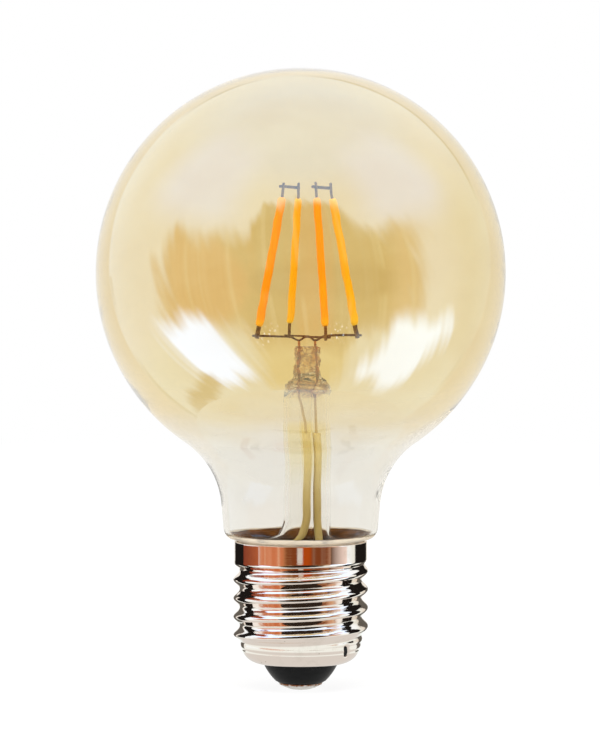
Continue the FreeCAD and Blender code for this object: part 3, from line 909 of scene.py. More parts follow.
@dataclass(frozen=True)
class BlackGlass(Finish):
    """Black pressed glass: glossy, with flow lines and fine dust in its skin."""

    label: str = "black_glass"
    body: Colour = (0.006, 0.0065, 0.007)
    dust: Colour = (0.034, 0.034, 0.034)

    def draw(self, graph: Graph) -> None:
        """Flow lines round the piece, dust specks and an uneven gloss.

        Args:
            graph: The material's empty node tree.
        """
        place = graph.place()
        flow = graph.drawn(place, (0.2, 0.2, 1.6), 3.0)
        dust = graph.noise(place, 6.0, 2.0, 0.7).smooth(0.55, 0.8)
        graph.surface({"IOR": 1.5, "Specular IOR Level": 0.08},
                      {"Base Color": graph.mix(dust * 0.5 + flow * 0.3, self.body, self.dust),
                       "Roughness": flow * 0.15 + dust * 0.2 + 0.24, "Normal": graph.bump(flow, 0.03)})


@dataclass(frozen=True)
class TinnedDome(Finish):
    """Solder-dipped contact: frosty tin, bare copper-brown metal at its ragged edge."""

    label: str = "tinned_dome"
    tin: Colour = (0.82, 0.81, 0.78)
    dull: Colour = (0.58, 0.56, 0.52)
    bare: Colour = (0.32, 0.15, 0.075)
    edge_radius: float = 4.2

    def draw(self, graph: Graph) -> None:
        """Bare metal near the edge radius where noise breaks the tin; frost in gloss and surface.

        Args:
            graph: The material's empty node tree.
        """
        place = graph.place()
        x, y, _ = graph.axes(place)
        radius = (x * x + y * y) ** 0.5
        frost = graph.noise(place, 1.6, 4.0, 0.65)
        torn = graph.noise(place, 1.1, 3.0)
        edge = (radius + torn * 1.6).smooth(self.edge_radius + 0.55, self.edge_radius + 0.85)
        tin = graph.mix(frost.smooth(0.4, 0.7), self.tin, self.dull)
        graph.surface({"Metallic": 1.0},
                      {"Base Color": graph.mix(edge, tin, self.bare),
                       "Roughness": frost * 0.3 + edge * 0.15 + 0.12, "Normal": graph.bump(frost, 0.06)})


@dataclass(frozen=True)
class Banded(Finish):
    """Lacquered resistor body with plain colour rings across its length."""

    label: str = "banded_lacquer"
    body: Colour = (0.10, 0.22, 0.33)
    ring: Colour = (0.55, 0.30, 0.05)
    metal: Colour = (0.6, 0.58, 0.54)
    half_length: float = 3.1

    def draw(self, graph: Graph) -> None:
        """Rings from |x|, bare legs past the body's ends, lacquer runs in the gloss.

        Args:
            graph: The material's empty node tree.
        """
        place = graph.place()
        x = graph.axes(place)[0]
        away = x.size()
        leg = away.smooth(self.half_length, self.half_length + 0.05)
        wave = (x * 5.2).sine().smooth(0.35, 0.6)
        runs = graph.noise(place, 1.5, 3.0)
        colour = graph.mix(wave * (1.0 - away.smooth(2.3, 2.4)), self.body, self.ring)
        graph.surface({"IOR": 1.5}, {"Base Color": graph.mix(leg, colour, self.metal), "Metallic": leg,
                                     "Roughness": runs * 0.2 + 0.25, "Normal": graph.bump(runs, 0.05)})


@dataclass(frozen=True)
class Laminate(Finish):
    """Solder-masked glass-fibre board with its weave showing through."""

    label: str = "board_laminate"
    mask: Colour = (0.02, 0.12, 0.05)
    weave: Colour = (0.035, 0.18, 0.08)

    def draw(self, graph: Graph) -> None:
        """Square weave from sin(x) sin(y), with a little unevenness in the mask.

        Args:
            graph: The material's empty node tree.
        """
        place = graph.place()
        x, y, _ = graph.axes(place)
        weave = (x * 9.0).sine() * (y * 9.0).sine() * 0.5 + 0.5
        pool = graph.noise(place, 0.6, 3.0)
        graph.surface({"IOR": 1.52, "Coat Weight": 0.3}, {
            "Base Color": graph.mix(weave * 0.6 + pool * 0.3, self.mask, self.weave),
            "Roughness": pool * 0.2 + 0.25, "Normal": graph.bump(weave, 0.02)})


class Glow(Enum):
    """What a surface of the set shows, and to which rays."""

    FLOOR = "floor"
    PAINTED = "painted"


class Paint(Enum):
    """Light of each part of the mirrored room and of the cards round the cap; 1 is white."""

    CEILING = (1.04, 1.15, 1.24)
    SKYLIGHT = (0.96, 1.24, 1.62)
    COOL_SIDE = (1.03, 1.34, 1.96)
    FAR_RIGHT = (0.74, 0.74, 0.60)
    TABLE = (0.96, 1.08, 1.08)
    TABLE_MIDDLE = (0.80, 0.66, 0.36)
    WALL = (0.44, 0.23, 0.11)
    LEFT_WALL = (0.66, 0.20, 0.085)
    LEFT_STREAK = (0.80, 0.42, 0.26)
    FACING_WALL = (0.32, 0.155, 0.055)
    SHADE = (0.20, 0.045, 0.012)
    WARM_STRIPE = (0.58, 0.08, 0.0)
    RIGHT_STREAK = (0.36, 0.24, 0.17)
    RIGHT_WALL = (0.78, 0.48, 0.33)
    GAP = (0.95, 0.86, 0.62)
    GLINT = (2.1, 2.3, 2.4)
    LEFT_WINDOW = (1.7, 2.4, 3.6)
    RIGHT_WINDOW = (1.7, 2.3, 3.1)
    LOW_BAR = (0.36, 0.22, 0.08)
    BACKDROP = (1.0, 1.0, 1.0)
    BACKDROP_SIDE = (0.82, 0.79, 0.72)
    BACKDROP_LINE = (0.40, 0.28, 0.17)
    DARK = (0.012, 0.010, 0.009)
    DIM = (0.13, 0.12, 0.105)
    GREY = (0.66, 0.62, 0.58)
    LENS = (0.028, 0.02, 0.015)
    RUST = (0.44, 0.12, 0.047)
    DEEP_RUST = (0.20, 0.04, 0.024)
    BROWN = (0.12, 0.05, 0.02)
    BLUSH = (0.97, 0.82, 0.76)
    MAT_NEAR = (0.73, 0.72, 0.70)
    MAT_FAR = (0.95, 1.03, 1.02)


# The lamp's sub-assemblies


@dataclass
class GlassEnvelope:
    """The blown bulb: globe, flared neck, shoulder and spigot, an even wall thick."""

    globe_radius: float = 40.0
    globe_z: float = 81.488
    fillet: tuple[float, float] = (31.987, 34.921)
    fillet_radius: float = 16.5
    taper_deg: float = 5.0
    shoulder: tuple[float, float] = (12.934, 31.7)
    shoulder_radius: float = 2.2
    root_radius: float = 0.8
    spigot_radius: float = SPIGOT_RADIUS
    spigot_low: float = SEAL_Z
    wall: float = 0.7
    draw_in: float = 0.9994
    columns: int = 192

    def outline(self, inset: float) -> Array:
        """Crown to spigot: globe arc, neck fillet, straight taper, shoulder arc, root arc and spigot.

        Args:
            inset: How far the line lies in from the outside.

        Returns:
            (rows, 2) radii and heights.
        """
        meet = -math.degrees(math.acos(self.fillet[0] / (self.globe_radius + self.fillet_radius)))
        root = self.root_radius
        root_centre = (self.spigot_radius + root, self.shoulder[1] - self.shoulder_radius - root)
        globe = arc((0.0, self.globe_z), self.globe_radius - inset, 90.0, meet, 110)
        globe[0, 0] = 0.0
        neck = arc(self.fillet, self.fillet_radius + inset, meet + 180.0, 180.0 - self.taper_deg, 36)
        bend = arc(self.shoulder, self.shoulder_radius - inset, -self.taper_deg, -90.0, 18)
        taper = run(tuple(neck[-1]), tuple(bend[0]), 12)[1:-1]
        turn = arc(root_centre, root + inset, 90.0, 180.0, 10)
        spigot = run(tuple(turn[-1]), (self.spigot_radius - inset, self.spigot_low), 8)[1:]
        return np.vstack([globe, neck[1:], taper, bend, turn, spigot]) * np.array([self.draw_in, 1.0])

    def build(self) -> None:
        """Outer wall, rim and inner wall, turned as one closed profile.

        In the neck the inner radius is multiplied by 1 + 0.004 sin(3a + 0.25z) + 0.003 sin(5a - 0.4z + 1),
        with soft ends, so that the wall thins and thickens a little.
        """
        outer = lathe(self.outline(0.0), self.columns)
        inner = lathe(self.outline(self.wall)[::-1], self.columns)
        inner.material = 1
        x, y, z = np.moveaxis(inner.points, -1, 0)
        turn = np.arctan2(y, x)
        swell = smooth(z, 34.0, 40.0) * (1.0 - smooth(z, 50.0, 62.0))
        push = 1.0 + 0.004 * swell * np.sin(3 * turn + 0.25 * z)
        push = push + 0.003 * swell * np.sin(5 * turn - 0.4 * z + 1.0)
        inner.points[..., :2] *= push[..., None]
        rim = Grid(np.stack([outer.points[-1], inner.points[0]]))
        glass = make_piece("globe_glass", [outer, rim, inner], [AmberGlass(), BareGlass()],
                           "glass_globe")
        glass.visible_shadow = False


@dataclass
class GlassMount:
    """Stem with its flare and press, the exhaust tube, the two leads and their sleeves."""

    axis_x: float = MOUNT_X
    tube_radius: float = 4.6
    wall: float = 0.9
    rim_radius: float = 11.5
    spigot_radius: float = SPIGOT_RADIUS
    seal_z: float = SEAL_Z
    flare_height: float = 8.1
    neck_z: float = 57.288
    press_z: float = 62.288
    top_z: float = 67.388
    bore_top_z: float = 59.988
    press_half: tuple[float, float] = (2.5, 1.3)
    press_edge: float = 0.5
    press_power: float = 3.5
    press_turn_deg: float = 25.0
    exhaust_radius: float = 1.3
    exhaust_wall: float = 0.35
    exhaust_rise: float = 7.0
    exhaust_draw: float = 2.4
    exhaust_nib: float = 0.5
    board_top_z: float = 10.0
    board_thickness: float = 1.6
    lead_diameter: float = 0.5
    lead_circle: float = 1.75
    lead_bend: float = 1.6
    lead_rise: float = 7.0
    lead_weld: float = 0.7
    lead_splay: float = 0.5
    leads: dict[str, tuple[float, float, float]] = field(
        default_factory=lambda: {"front": (180.0, -92.0, -4.5), "rear": (0.0, -41.0, 4.5)})
    pad_y: float = -3.5705
    sleeve_circle: float = 2.5
    sleeve_diameter: float = 1.5
    sleeve_play: float = 0.05
    sleeve_head_z: float = 50.488
    sleeve_foot: float = 2.2
    sleeve_wrap: float = 84.0
    columns: int = 96

    @staticmethod
    def rings(half_x: Array | float, half_y: Array | float, power: Array | float, centre_x: Array | float,
              z: Array | float) -> Rows:
        """Half widths, squareness, centre and height of rings, each spread to every row."""
        names = ("hx", "hy", "p", "cx", "z")
        return dict(zip(names, np.broadcast_arrays(half_x, half_y, power, centre_x, z)))

    @staticmethod
    def turned(rows: Rows) -> Rows:
        """The same rings in the other order."""
        return {key: value[::-1] for key, value in rows.items()}

    def flare_rows(self, wall: float, count: int) -> Rows:
        """Trumpet from the seal to the tube: radius falls with (1 - t)^3, the axis moves with 3t^2 - 2t^3.

        Args:
            wall: 0 for the outside, the wall for the bore.
            count: How many rings.

        Returns:
            The rings, from the seal up.
        """
        t = np.linspace(0.0, 1.0, count)
        radius = self.tube_radius + (self.rim_radius - self.tube_radius) * (1 - t) ** 3 - wall * t
        height = self.seal_z + self.flare_height * t - wall * (1 - t)
        return self.rings(radius, radius, 2.0, self.axis_x * smooth(t, 0, 1), height)

    def shoulder_rows(self, wall: float, pinch: float, top_z: float, count: int) -> Rows:
        """Tube that is pinched from a round to a flat squarish ring, by 3t^2 - 2t^3 of the height's share.

        The outside keeps the tube's round for the first third.

        Args:
            wall: 0 for the outside, the wall for the bore.
            pinch: How far the pinch has gone at the top.
            top_z: Height of the last ring.
            count: How many rings.

        Returns:
            The rings, from the tube up.
        """
        t = np.linspace(0.0, 1.0, count)
        blend = smooth(t * pinch, 0.3 if wall == 0 else 0.0, 1)
        half_x, half_y = ((self.tube_radius - wall) * (1 - blend) + half * blend for half in self.press_half)
        power = 2 + (self.press_power - 2) * blend
        return self.rings(half_x, half_y, power, self.axis_x, self.neck_z + (top_z - self.neck_z) * t)

    def stem_grids(self) -> list[Grid]:
        """Closed glass: down the outside from the press's top to the rim, then up the bore to its pole.

        A ring is an oval of its two half widths, turned with the press. Three sines of angle and height
        crumple the pinched part.

        Returns:
            The press, then the plain tube with its flare in the second material, then the bore's end.
        """
        (half_x, half_y), edge, power = self.press_half, self.press_edge, self.press_power
        tube, bore_radius = self.tube_radius, self.tube_radius - self.wall
        flare_z = self.seal_z + self.flare_height
        bend = np.linspace(0, math.pi / 2, 8)
        inward, lowered = edge * np.sin(bend) - edge, edge * (1 - np.cos(bend))
        lid_x, lid_y = (np.linspace(0, half - edge, 6)[:-1] for half in self.press_half)
        outer = [
            self.rings(lid_x, lid_y, power, self.axis_x, self.top_z),
            self.rings(half_x + inward, half_y + inward, power, self.axis_x, self.top_z - lowered),
            self.rings(half_x, half_y, power, self.axis_x,
                       np.linspace(self.top_z - edge - 0.1, self.press_z, 16)),
            self.turned(self.shoulder_rows(0, 1, self.press_z, 28)),
            self.rings(tube, tube, 2.0, self.axis_x, np.linspace(self.neck_z, flare_z, 26)[1:-1]),
            self.turned(self.flare_rows(0, 30))]
        rim = self.rings(self.spigot_radius, self.spigot_radius, 2.0, 0.0,
                         np.array([self.seal_z, self.seal_z - self.wall]))
        bore = [
            self.flare_rows(self.wall, 30),
            self.rings(bore_radius, bore_radius, 2.0, self.axis_x,
                       np.linspace(flare_z, self.neck_z, 26)[1:-1]),
            self.shoulder_rows(self.wall, 0.75, self.bore_top_z, 16)]
        last = {key: value[-1:] for key, value in bore[-1].items()}
        closing = np.array([0.6, 0.25, 0.0])
        pole = self.rings(last["hx"] * closing, last["hy"] * closing, last["p"], last["cx"], last["z"])
        parts = [*outer, rim, *bore, pole]
        rows = {key: np.concatenate([part[key] for part in parts])[:, None] for key in pole}
        x, y = oval(self.columns, rows["p"])
        angle, z = angles(self.columns), rows["z"]
        waves = 0.05 * np.sin(3 * angle + 1.1 * z) + 0.05 * np.sin(5 * angle - 2.3 * z)
        crumple = 1 + smooth(z, 56.0, 61.0) * (waves + 0.03 * np.sin(2 * angle + 5.2 * z))
        x, y = x * rows["hx"] * crumple, y * rows["hy"] * crumple
        turn = math.radians(self.press_turn_deg)
        points = np.stack([rows["cx"] + x * math.cos(turn) - y * math.sin(turn),
                           x * math.sin(turn) + y * math.cos(turn), z + 0 * x], axis=-1)
        first = sum(len(part["z"]) for part in outer[:4])
        last_row = len(points) - len(bore[-1]["z"]) - len(closing)
        return [Grid(points[:first]), Grid(points[first - 1:last_row + 1], material=1),
                Grid(points[last_row:])]

    def exhaust_grid(self) -> Grid:
        """Pipe drawn to a rounded tip, turned as one closed wall.

        Returns:
            The pipe.
        """
        outer, bore, nib = self.exhaust_radius, self.exhaust_radius - self.exhaust_wall, self.exhaust_nib
        tip = self.board_top_z + self.exhaust_rise
        draw = tip + self.exhaust_draw
        profile = np.vstack([
            arc((0.0, tip + nib), nib, -90.0, 0.0, 8), run((nib, tip + nib), (outer, draw), 8)[1:],
            run((outer, draw), (outer, self.bore_top_z), 40)[1:],
            run((bore, self.bore_top_z), (bore, draw), 40), run((bore, draw), (0.0, draw - 0.3), 6)[1:]])
        profile[0, 0] = 0.0
        return lathe(profile, 40, np.array([self.axis_x, 0.0, 0.0]))

    def lead_stops(self, side: str) -> list[Array]:
        """The corners of one lead, from the weld above the press down to the board.

        Args:
            side: "front" or "rear".

        Returns:
            Points in order.
        """
        press_turn, sleeve_turn, pad_x = self.leads[side]
        axis, pad = np.array([self.axis_x, 0.0, 0.0]), np.array([pad_x, self.pad_y, 0.0])
        in_press = axis + polar(self.lead_circle, self.press_turn_deg + press_turn)
        in_tube = axis + polar(self.sleeve_circle, sleeve_turn)
        mouth = in_tube + (pad - in_tube) * self.lead_splay
        stops = [
            (in_press, self.top_z + self.lead_weld), (in_press, self.bore_top_z - 2.3),
            (in_tube, self.neck_z - 5.0), (in_tube, self.seal_z + self.flare_height - self.wall),
            (mouth, self.seal_z - self.wall),
            (pad, self.board_top_z + self.lead_rise), (pad, self.board_top_z - self.board_thickness)]
        return [np.array([place[0], place[1], z]) for place, z in stops]

    def sleeve_grid(self, side: str) -> Grid:
        """A sleeve with its own wall: rings down the outside and back up the inside, ends joined.

        Args:
            side: "front" or "rear".

        Returns:
            The closed sleeve.
        """
        stops = self.lead_stops(side)
        head = np.array([*stops[2][:2], self.sleeve_head_z])
        foot = np.array([*stops[-1][:2], self.board_top_z + self.sleeve_foot])
        path = bent([head] + stops[3:-1] + [foot], self.lead_bend, 160)
        x, y = oval(28)
        outer, inner = (carried(path, x * radius, y * radius, ACROSS)
                        for radius in (self.sleeve_diameter / 2, self.lead_diameter / 2 + self.sleeve_play))
        return Grid(np.concatenate([outer, inner[::-1]]), rows_meet=True,
                    span=(math.pi * self.sleeve_diameter, self.sleeve_wrap))

    def build(self) -> None:
        """Every glass and wire piece of the mount."""
        press, tube = ClearGlass(), ClearGlass("tube_glass", burnt_low=90.0, burnt_high=91.0, bend=1.12)
        stem = make_piece("stem_glass", self.stem_grids(), [press, tube], "glass_stem", 180.0)
        pipe = make_piece("exhaust_pipe", [self.exhaust_grid()], [tube], "exhaust_tube")
        stem.visible_shadow = pipe.visible_shadow = False
        for side in self.leads:
            stops = self.lead_stops(side)
            stops[0] = stops[0] + 0.3 * UP
            lead = wire(stops, self.lead_diameter, self.lead_bend, ACROSS, 200)
            make_piece("lead_" + side, [lead], [SealedLead()], "lead_wire_" + side)
            make_piece("sleeve_" + side, [self.sleeve_grid(side)], [WovenSleeve()],
                       "lead_sleeve_" + side)


@dataclass
class FilamentCage:
    """Four leaning rods with their end tabs, the cross wires under them and the links over them."""

    axis_x: float = MOUNT_X
    foot_z: float = 71.288
    length: float = 25.4
    foot_circle: float = 10.0
    head_circle: float = 5.25
    half: tuple[float, float] = (0.75, 0.65)
    power: float = 3.0
    girth: float = 4.4
    turns: dict[str, float] = field(
        default_factory=lambda: {"right": 20.0, "rear": 110.0, "left": 200.0, "front": 290.0})
    tab: tuple[float, float, float] = (0.9, 0.22, 2.6)
    tab_corner: float = 0.22
    weld: float = 2.0
    cross_diameter: float = 0.45
    link_diameter: float = 0.4
    overhang: float = 0.7
    knee: float = 1.9

    def ends(self, name: str) -> tuple[Array, Array, Array]:
        """Where a rod stands.

        Args:
            name: Its side.

        Returns:
            Its foot, its head and its direction.
        """
        axis = np.array([self.axis_x, 0.0, 0.0])
        rise = math.sqrt(self.length ** 2 - (self.foot_circle - self.head_circle) ** 2)
        foot = axis + polar(self.foot_circle, self.turns[name], self.foot_z)
        head = axis + polar(self.head_circle, self.turns[name], self.foot_z + rise)
        return foot, head, unit(head - foot)

    def rod_grid(self, name: str, seed: float) -> Grid:
        """Squarish ring carried up the rod, drawn in at its ends and up to 3% uneven along it.

        Within 0.9 mm of an end its size is 0.62 + 0.38 of a quarter round.

        Args:
            name: The rod's side.
            seed: Shifts its unevenness.

        Returns:
            The closed rod.
        """
        foot, head, along = self.ends(name)
        t = np.concatenate([np.zeros(1), np.linspace(0, 1, 90), np.ones(1)])
        travel = t * self.length
        near = np.minimum(travel, self.length - travel)
        size = 0.62 + 0.38 * np.sqrt(1 - (1 - np.clip(near / 0.9, 0, 1)) ** 2)
        size = size * (1 + 0.03 * ripple(travel * 1.1, seed))
        size[[0, -1]] = 0.0
        x, y = oval(32, self.power)
        outward = unit(np.array([foot[0] - self.axis_x, foot[1], 0.0]))
        points = strut(foot + (head - foot) * t[:, None], along, outward,
                       size[:, None] * x * self.half[0], size[:, None] * y * self.half[1])
        return Grid(points, span=(self.girth, self.length))

    def tab_grid(self, origin: Array, along: Array, across: Array) -> Grid:
        """Flat strip: a thin squarish ring carried along it, narrower at the free end and nipped at the weld.

        The nip is exp(-((s - weld) / 0.28)^2) and makes the strip 5% wider and 20% thinner.

        Args:
            origin: Where it leaves the rod.
            along: Its direction.
            across: The direction that its width follows.

        Returns:
            The closed strip.
        """
        width, thick, length = self.tab
        s = np.concatenate([[0.0], np.linspace(0, length, 40), [length]])
        free = np.clip((s - (length - self.tab_corner)) / self.tab_corner, 0, 1)
        half_w = width / 2 - self.tab_corner * (1 - np.sqrt(1 - free ** 2))
        nip = np.exp(-((s - self.weld) / 0.28) ** 2)
        half_w, half_t = half_w * (1 + 0.05 * nip), thick / 2 * (1 - 0.2 * nip)
        half_w[[0, -1]], half_t[[0, -1]] = 0.0, 0.0
        x, y = oval(24, 6.0)
        path = origin + along * s[:, None]
        return Grid(strut(path, along, across, half_w[:, None] * x, half_t[:, None] * y))

    def weld_spot(self, origin: Array, along: Array, across: Array, diameter: float) -> Array:
        """Centre of a wire that lies across a tab's flat side."""
        side = unit(np.cross(along, across))
        return origin + along * self.weld + side * (self.tab[1] + diameter) / 2

    @staticmethod
    def level(start: Array, end: Array) -> Array:
        """The level direction from one point to another."""
        return unit((end - start) * np.array([1.0, 1.0, 0.0]))

    def cross_grid(self, lead_end: Array, names: tuple[str, str]) -> Grid:
        """Wire from one foot tab, over the lead's end, to the next foot tab.

        Args:
            lead_end: Top of the lead that it is welded to.
            names: The two rods' sides.

        Returns:
            The wire.
        """
        arms = []
        for name in names:
            foot, _, along = self.ends(name)
            way = self.level(foot, lead_end)
            spot = self.weld_spot(foot, -along, way, self.cross_diameter)
            span = (lead_end - spot) @ way
            arms.append([spot - way * (self.tab[0] / 2 + self.overhang), spot + way * (span - self.knee)])
        middle = lead_end + UP * self.cross_diameter / 2
        return wire(arms[0] + [middle] + arms[1][::-1], self.cross_diameter, 0.6, UP)

    def link_grid(self, names: tuple[str, str]) -> Grid:
        """Straight wire over two head tabs.

        Args:
            names: The two rods' sides.

        Returns:
            The wire.
        """
        (_, head_a, along_a), (_, head_b, along_b) = (self.ends(name) for name in names)
        way = self.level(head_a, head_b)
        spare = way * (self.tab[0] / 2 + self.overhang)
        start = self.weld_spot(head_a, along_a, way, self.link_diameter) - spare
        end = self.weld_spot(head_b, along_b, way, self.link_diameter) + spare
        return wire([start, (start + end) / 2, end], self.link_diameter, 0.3, UP, 60)

    def build(self, mount: GlassMount) -> None:
        """Rods, then cross wires and links with the tabs that they hold.

        Args:
            mount: Gives the leads' ends.
        """
        orange, yellow = Phosphor(), Phosphor("yellow_phosphor", (1.0, 0.50, 0.002), (1.0, 0.64, 0.012))
        wire_metal = DrawnMetal("wire_metal", (0.22, 0.14, 0.07), (0.07, 0.042, 0.022), 0.55, 0.36)
        tab_metal = DrawnMetal("strip_metal", (0.27, 0.18, 0.085), (0.09, 0.055, 0.03), 0.5, 0.34)
        for seed, name in enumerate(self.turns):
            warm = name in ("left", "front")
            make_piece("rod_" + name, [self.rod_grid(name, 1.0 + seed)], [orange if warm else yellow],
                       "filament_" + name, 70.0)
        for side, names in (("front", ("left", "front")), ("rear", ("rear", "right"))):
            lead_end = mount.lead_stops(side)[0]
            make_piece("cross_" + side, [self.cross_grid(lead_end, names)], [wire_metal],
                       "cross_wire_" + side)
            for name in names:
                foot, _, along = self.ends(name)
                strip = self.tab_grid(foot, -along, self.level(foot, lead_end))
                make_piece("foot_strip_" + name, [strip], [tab_metal], "foot_tab_" + name, 40.0)
        for side, names in (("left", ("left", "rear")), ("right", ("front", "right"))):
            make_piece("link_" + side, [self.link_grid(names)], [wire_metal],
                       "link_wire_" + side)
            way = self.level(self.ends(names[0])[1], self.ends(names[1])[1])
            for name in names:
                _, head, along = self.ends(name)
                strip = self.tab_grid(head, along, way)
                make_piece("head_strip_" + name, [strip], [tab_metal], "head_tab_" + name, 40.0)


@dataclass
class ScrewCap:
    """Rolled nickel shell, the cement in its skirt, the black insulator and the end contact."""

    thread: tuple[float, float] = (26.4, 23.96)
    pitch: float = 25.4 / 7
    foot_z: float = 9.0
    head_z: float = 25.6
    fade: float = 1.8
    turn_deg: float = 20.0
    skirt_radius: float = 13.0
    skirt_top: float = 29.1
    skirt_roll: float = 0.14
    foot_radius: float = 11.8
    corner: float = 3.8
    crease_z: float = 8.0
    mouth_radius: float = 7.4
    wall: float = 0.35
    spigot_radius: float = SPIGOT_RADIUS
    cement_drop: float = 0.25
    contact_rise: float = 1.3
    contact_radius: float = 4.2
    contact_land: float = 1.9
    contact_roll: float = 0.12
    shank: tuple[float, float, float] = (1.1, 0.35, 3.0)
    shank_hole: float = 1.15
    columns: int = 288

    def thread_share(self, z: Array) -> tuple[Array, Array]:
        """How far the thread has come in from its foot, and from its head."""
        return smooth(z, self.foot_z, self.foot_z + self.fade), smooth(self.head_z - z, 0, self.fade)

    def wall_rows(self, inset: float) -> Array:
        """Down the wall: skirt, thread stretch, rounded bottom and lip.

        Args:
            inset: How far it lies in from the outside.

        Returns:
            (rows, 2) base radii and heights.
        """
        roll, lip_z = self.skirt_roll, self.foot_z - self.corner + inset
        skirt = np.vstack([
            arc((self.skirt_radius - roll, self.skirt_top - roll), roll, 90, 0, 6),
            run((self.skirt_radius, self.skirt_top - 0.3), (self.skirt_radius, self.head_z + 0.1), 24)])
        z = np.linspace(self.head_z, self.foot_z, 104)
        mean = sum(self.thread) / 4
        begun, left = self.thread_share(z)
        radius = mean + (1 - begun) * (self.foot_radius - mean) + (1 - left) * (self.skirt_radius - mean)
        upper = np.vstack([skirt, np.stack([radius, z], axis=1)])
        upper[:, 0] -= inset
        bend = arc((self.foot_radius - self.corner, self.foot_z), self.corner - inset, 0, -90, 30)
        lip = run((self.foot_radius - self.corner, lip_z), (self.mouth_radius, lip_z), 4)
        return np.vstack([upper, bend[1:], lip[1:]])

    def rolled(self, inset: float) -> Grid:
        """Turned wall whose level circles are thrown off the axis: r = R + throw cos(angle - turn(z)).

        The throw fades in and out at the ends of the thread, and its turn goes round once in a pitch.
        A shallow crease rings the bottom, and one staking dent is pressed into it; both are bell curves.

        Args:
            inset: How far it lies in from the outside.

        Returns:
            The wall, from the skirt's top to the lip.
        """
        rows = self.wall_rows(inset)
        angle = angles(self.columns)
        radius, z = rows[:, :1], rows[:, 1:]
        inside = (z >= self.foot_z) & (z <= self.head_z)
        begun, left = self.thread_share(z)
        throw = (self.thread[0] - self.thread[1]) / 4 * begun * left * inside
        phase = angle - math.radians(self.turn_deg) - 2 * math.pi * (z - self.foot_z) / self.pitch
        wavy = radius + throw * np.cos(phase) - throw ** 2 * np.sin(phase) ** 2 / (2 * radius)
        wavy = wavy - 0.12 * np.exp(-((z - self.crease_z) / 0.18) ** 2)
        off = (angle - math.radians(DENT_DEG) + math.pi) % (2 * math.pi) - math.pi
        across, rise = (off * 11.6 + 0.25 * (z - DENT_Z)) / 0.6, (z - DENT_Z) / 1.05
        wavy = wavy - 0.8 * np.exp(-across ** 4) * np.exp(-rise ** 4)
        return Grid(np.stack([wavy * np.cos(angle), wavy * np.sin(angle), z + 0 * wavy], axis=-1))

    def cement_grid(self) -> Grid:
        """A ring with a lumpy top: height of the top = level + ripple(angle).

        Returns:
            The closed ring.
        """
        inner, outer = self.spigot_radius, self.skirt_radius - self.wall
        low, high, columns = SEAL_Z, self.skirt_top - self.cement_drop, 160
        profile = np.vstack([
            run((inner, low), (inner, high), 6), run((inner, high), (outer, high), 5)[1:],
            run((outer, high), (outer, low), 6)[1:], run((outer, low), (inner, low), 4)[1:-1]])
        grid = lathe(profile, columns)
        lump = 0.12 * ripple(7 * angles(columns), 2.0) * smooth(profile[:, 1:], 27.0, high)
        grid.points[..., 2] += np.minimum(lump, 0.04)
        grid.rows_meet = True
        return grid

    def insulator_grid(self) -> Grid:
        """Black cone with a soft belly, turned as one closed profile round the shank's hole.

        Returns:
            The closed insulator.
        """
        tip, hole, rise, soft = self.contact_radius + 0.4, self.shank_hole, self.contact_rise, 0.3
        lip_z, floor_z = self.foot_z - self.corner, rise + 1.6
        dish = self.foot_radius - self.wall - 0.6 - 2.35
        profile = np.vstack([
            run((hole, rise), (tip - soft, rise), 10)[:-1], arc((tip - soft, rise + soft), soft, -90, -20, 8),
            bowed((tip, rise), (self.mouth_radius, lip_z), 0.25, 30)[3:],
            [[self.mouth_radius, lip_z + self.wall]],
            arc((self.foot_radius - self.corner, self.foot_z), self.corner - self.wall, -90, 0, 16),
            [[dish, self.foot_z], [(dish + hole) / 2, floor_z], [hole, floor_z]]])
        grid = lathe(profile, 128)
        grid.rows_meet = True
        return grid

    def contact_grid(self) -> Grid:
        """Shallow dome with a flat land, its solder raised unevenly by a ripple, and a hollow shank above.

        Returns:
            The closed contact.
        """
        r, land, rise = self.contact_radius, self.contact_land, self.contact_rise
        roll, columns = self.contact_roll, 96
        outer, bore, tall = self.shank
        profile = np.vstack([
            run((0, 0), (land, 0), 8)[:-1], bowed((land, 0.0), (r, rise - 0.35), 0.13, 26),
            arc((r - roll, rise - roll), roll, 0, 90, 5), run((r - 0.3, rise), (outer, rise), 6),
            run((outer, rise), (outer, rise + tall), 8)[1:], run((bore, rise + tall), (bore, rise), 6),
            [[0.0, rise]]])
        grid = lathe(profile, columns)
        radius, z = profile[:, :1], profile[:, 1:]
        share = smooth(radius, 2.0, 2.8) * (1 - smooth(z, rise - 0.5, rise - 0.2))
        grid.points[..., 2] += 0.06 * share * (1 + ripple(3 * angles(columns) + 2.0 * radius, 3.0))
        return grid

    def build(self) -> None:
        """Shell, cement, insulator and contact."""
        outer, inner = self.rolled(0.0), self.rolled(self.wall)
        inner.points = inner.points[::-1].copy()
        inner.material = 1
        lip, brim = (Grid(np.stack([above.points[-1], below.points[0]]))
                     for above, below in ((outer, inner), (inner, outer)))
        inside = DrawnMetal("shell_inside", (0.30, 0.19, 0.10), (0.13, 0.07, 0.035), 0.6, 0.45, 2.0)
        make_piece("nickel_shell", [outer, lip, inner, brim], [PlatedShell(), inside],
                   "screw_shell", 60.0)
        make_piece("cement_ring", [self.cement_grid()], [Gritty()], "basing_cement")
        make_piece("black_insulator", [self.insulator_grid()], [BlackGlass()],
                   "cap_insulator")
        make_piece("end_contact", [self.contact_grid()], [TinnedDome()], "centre_contact")


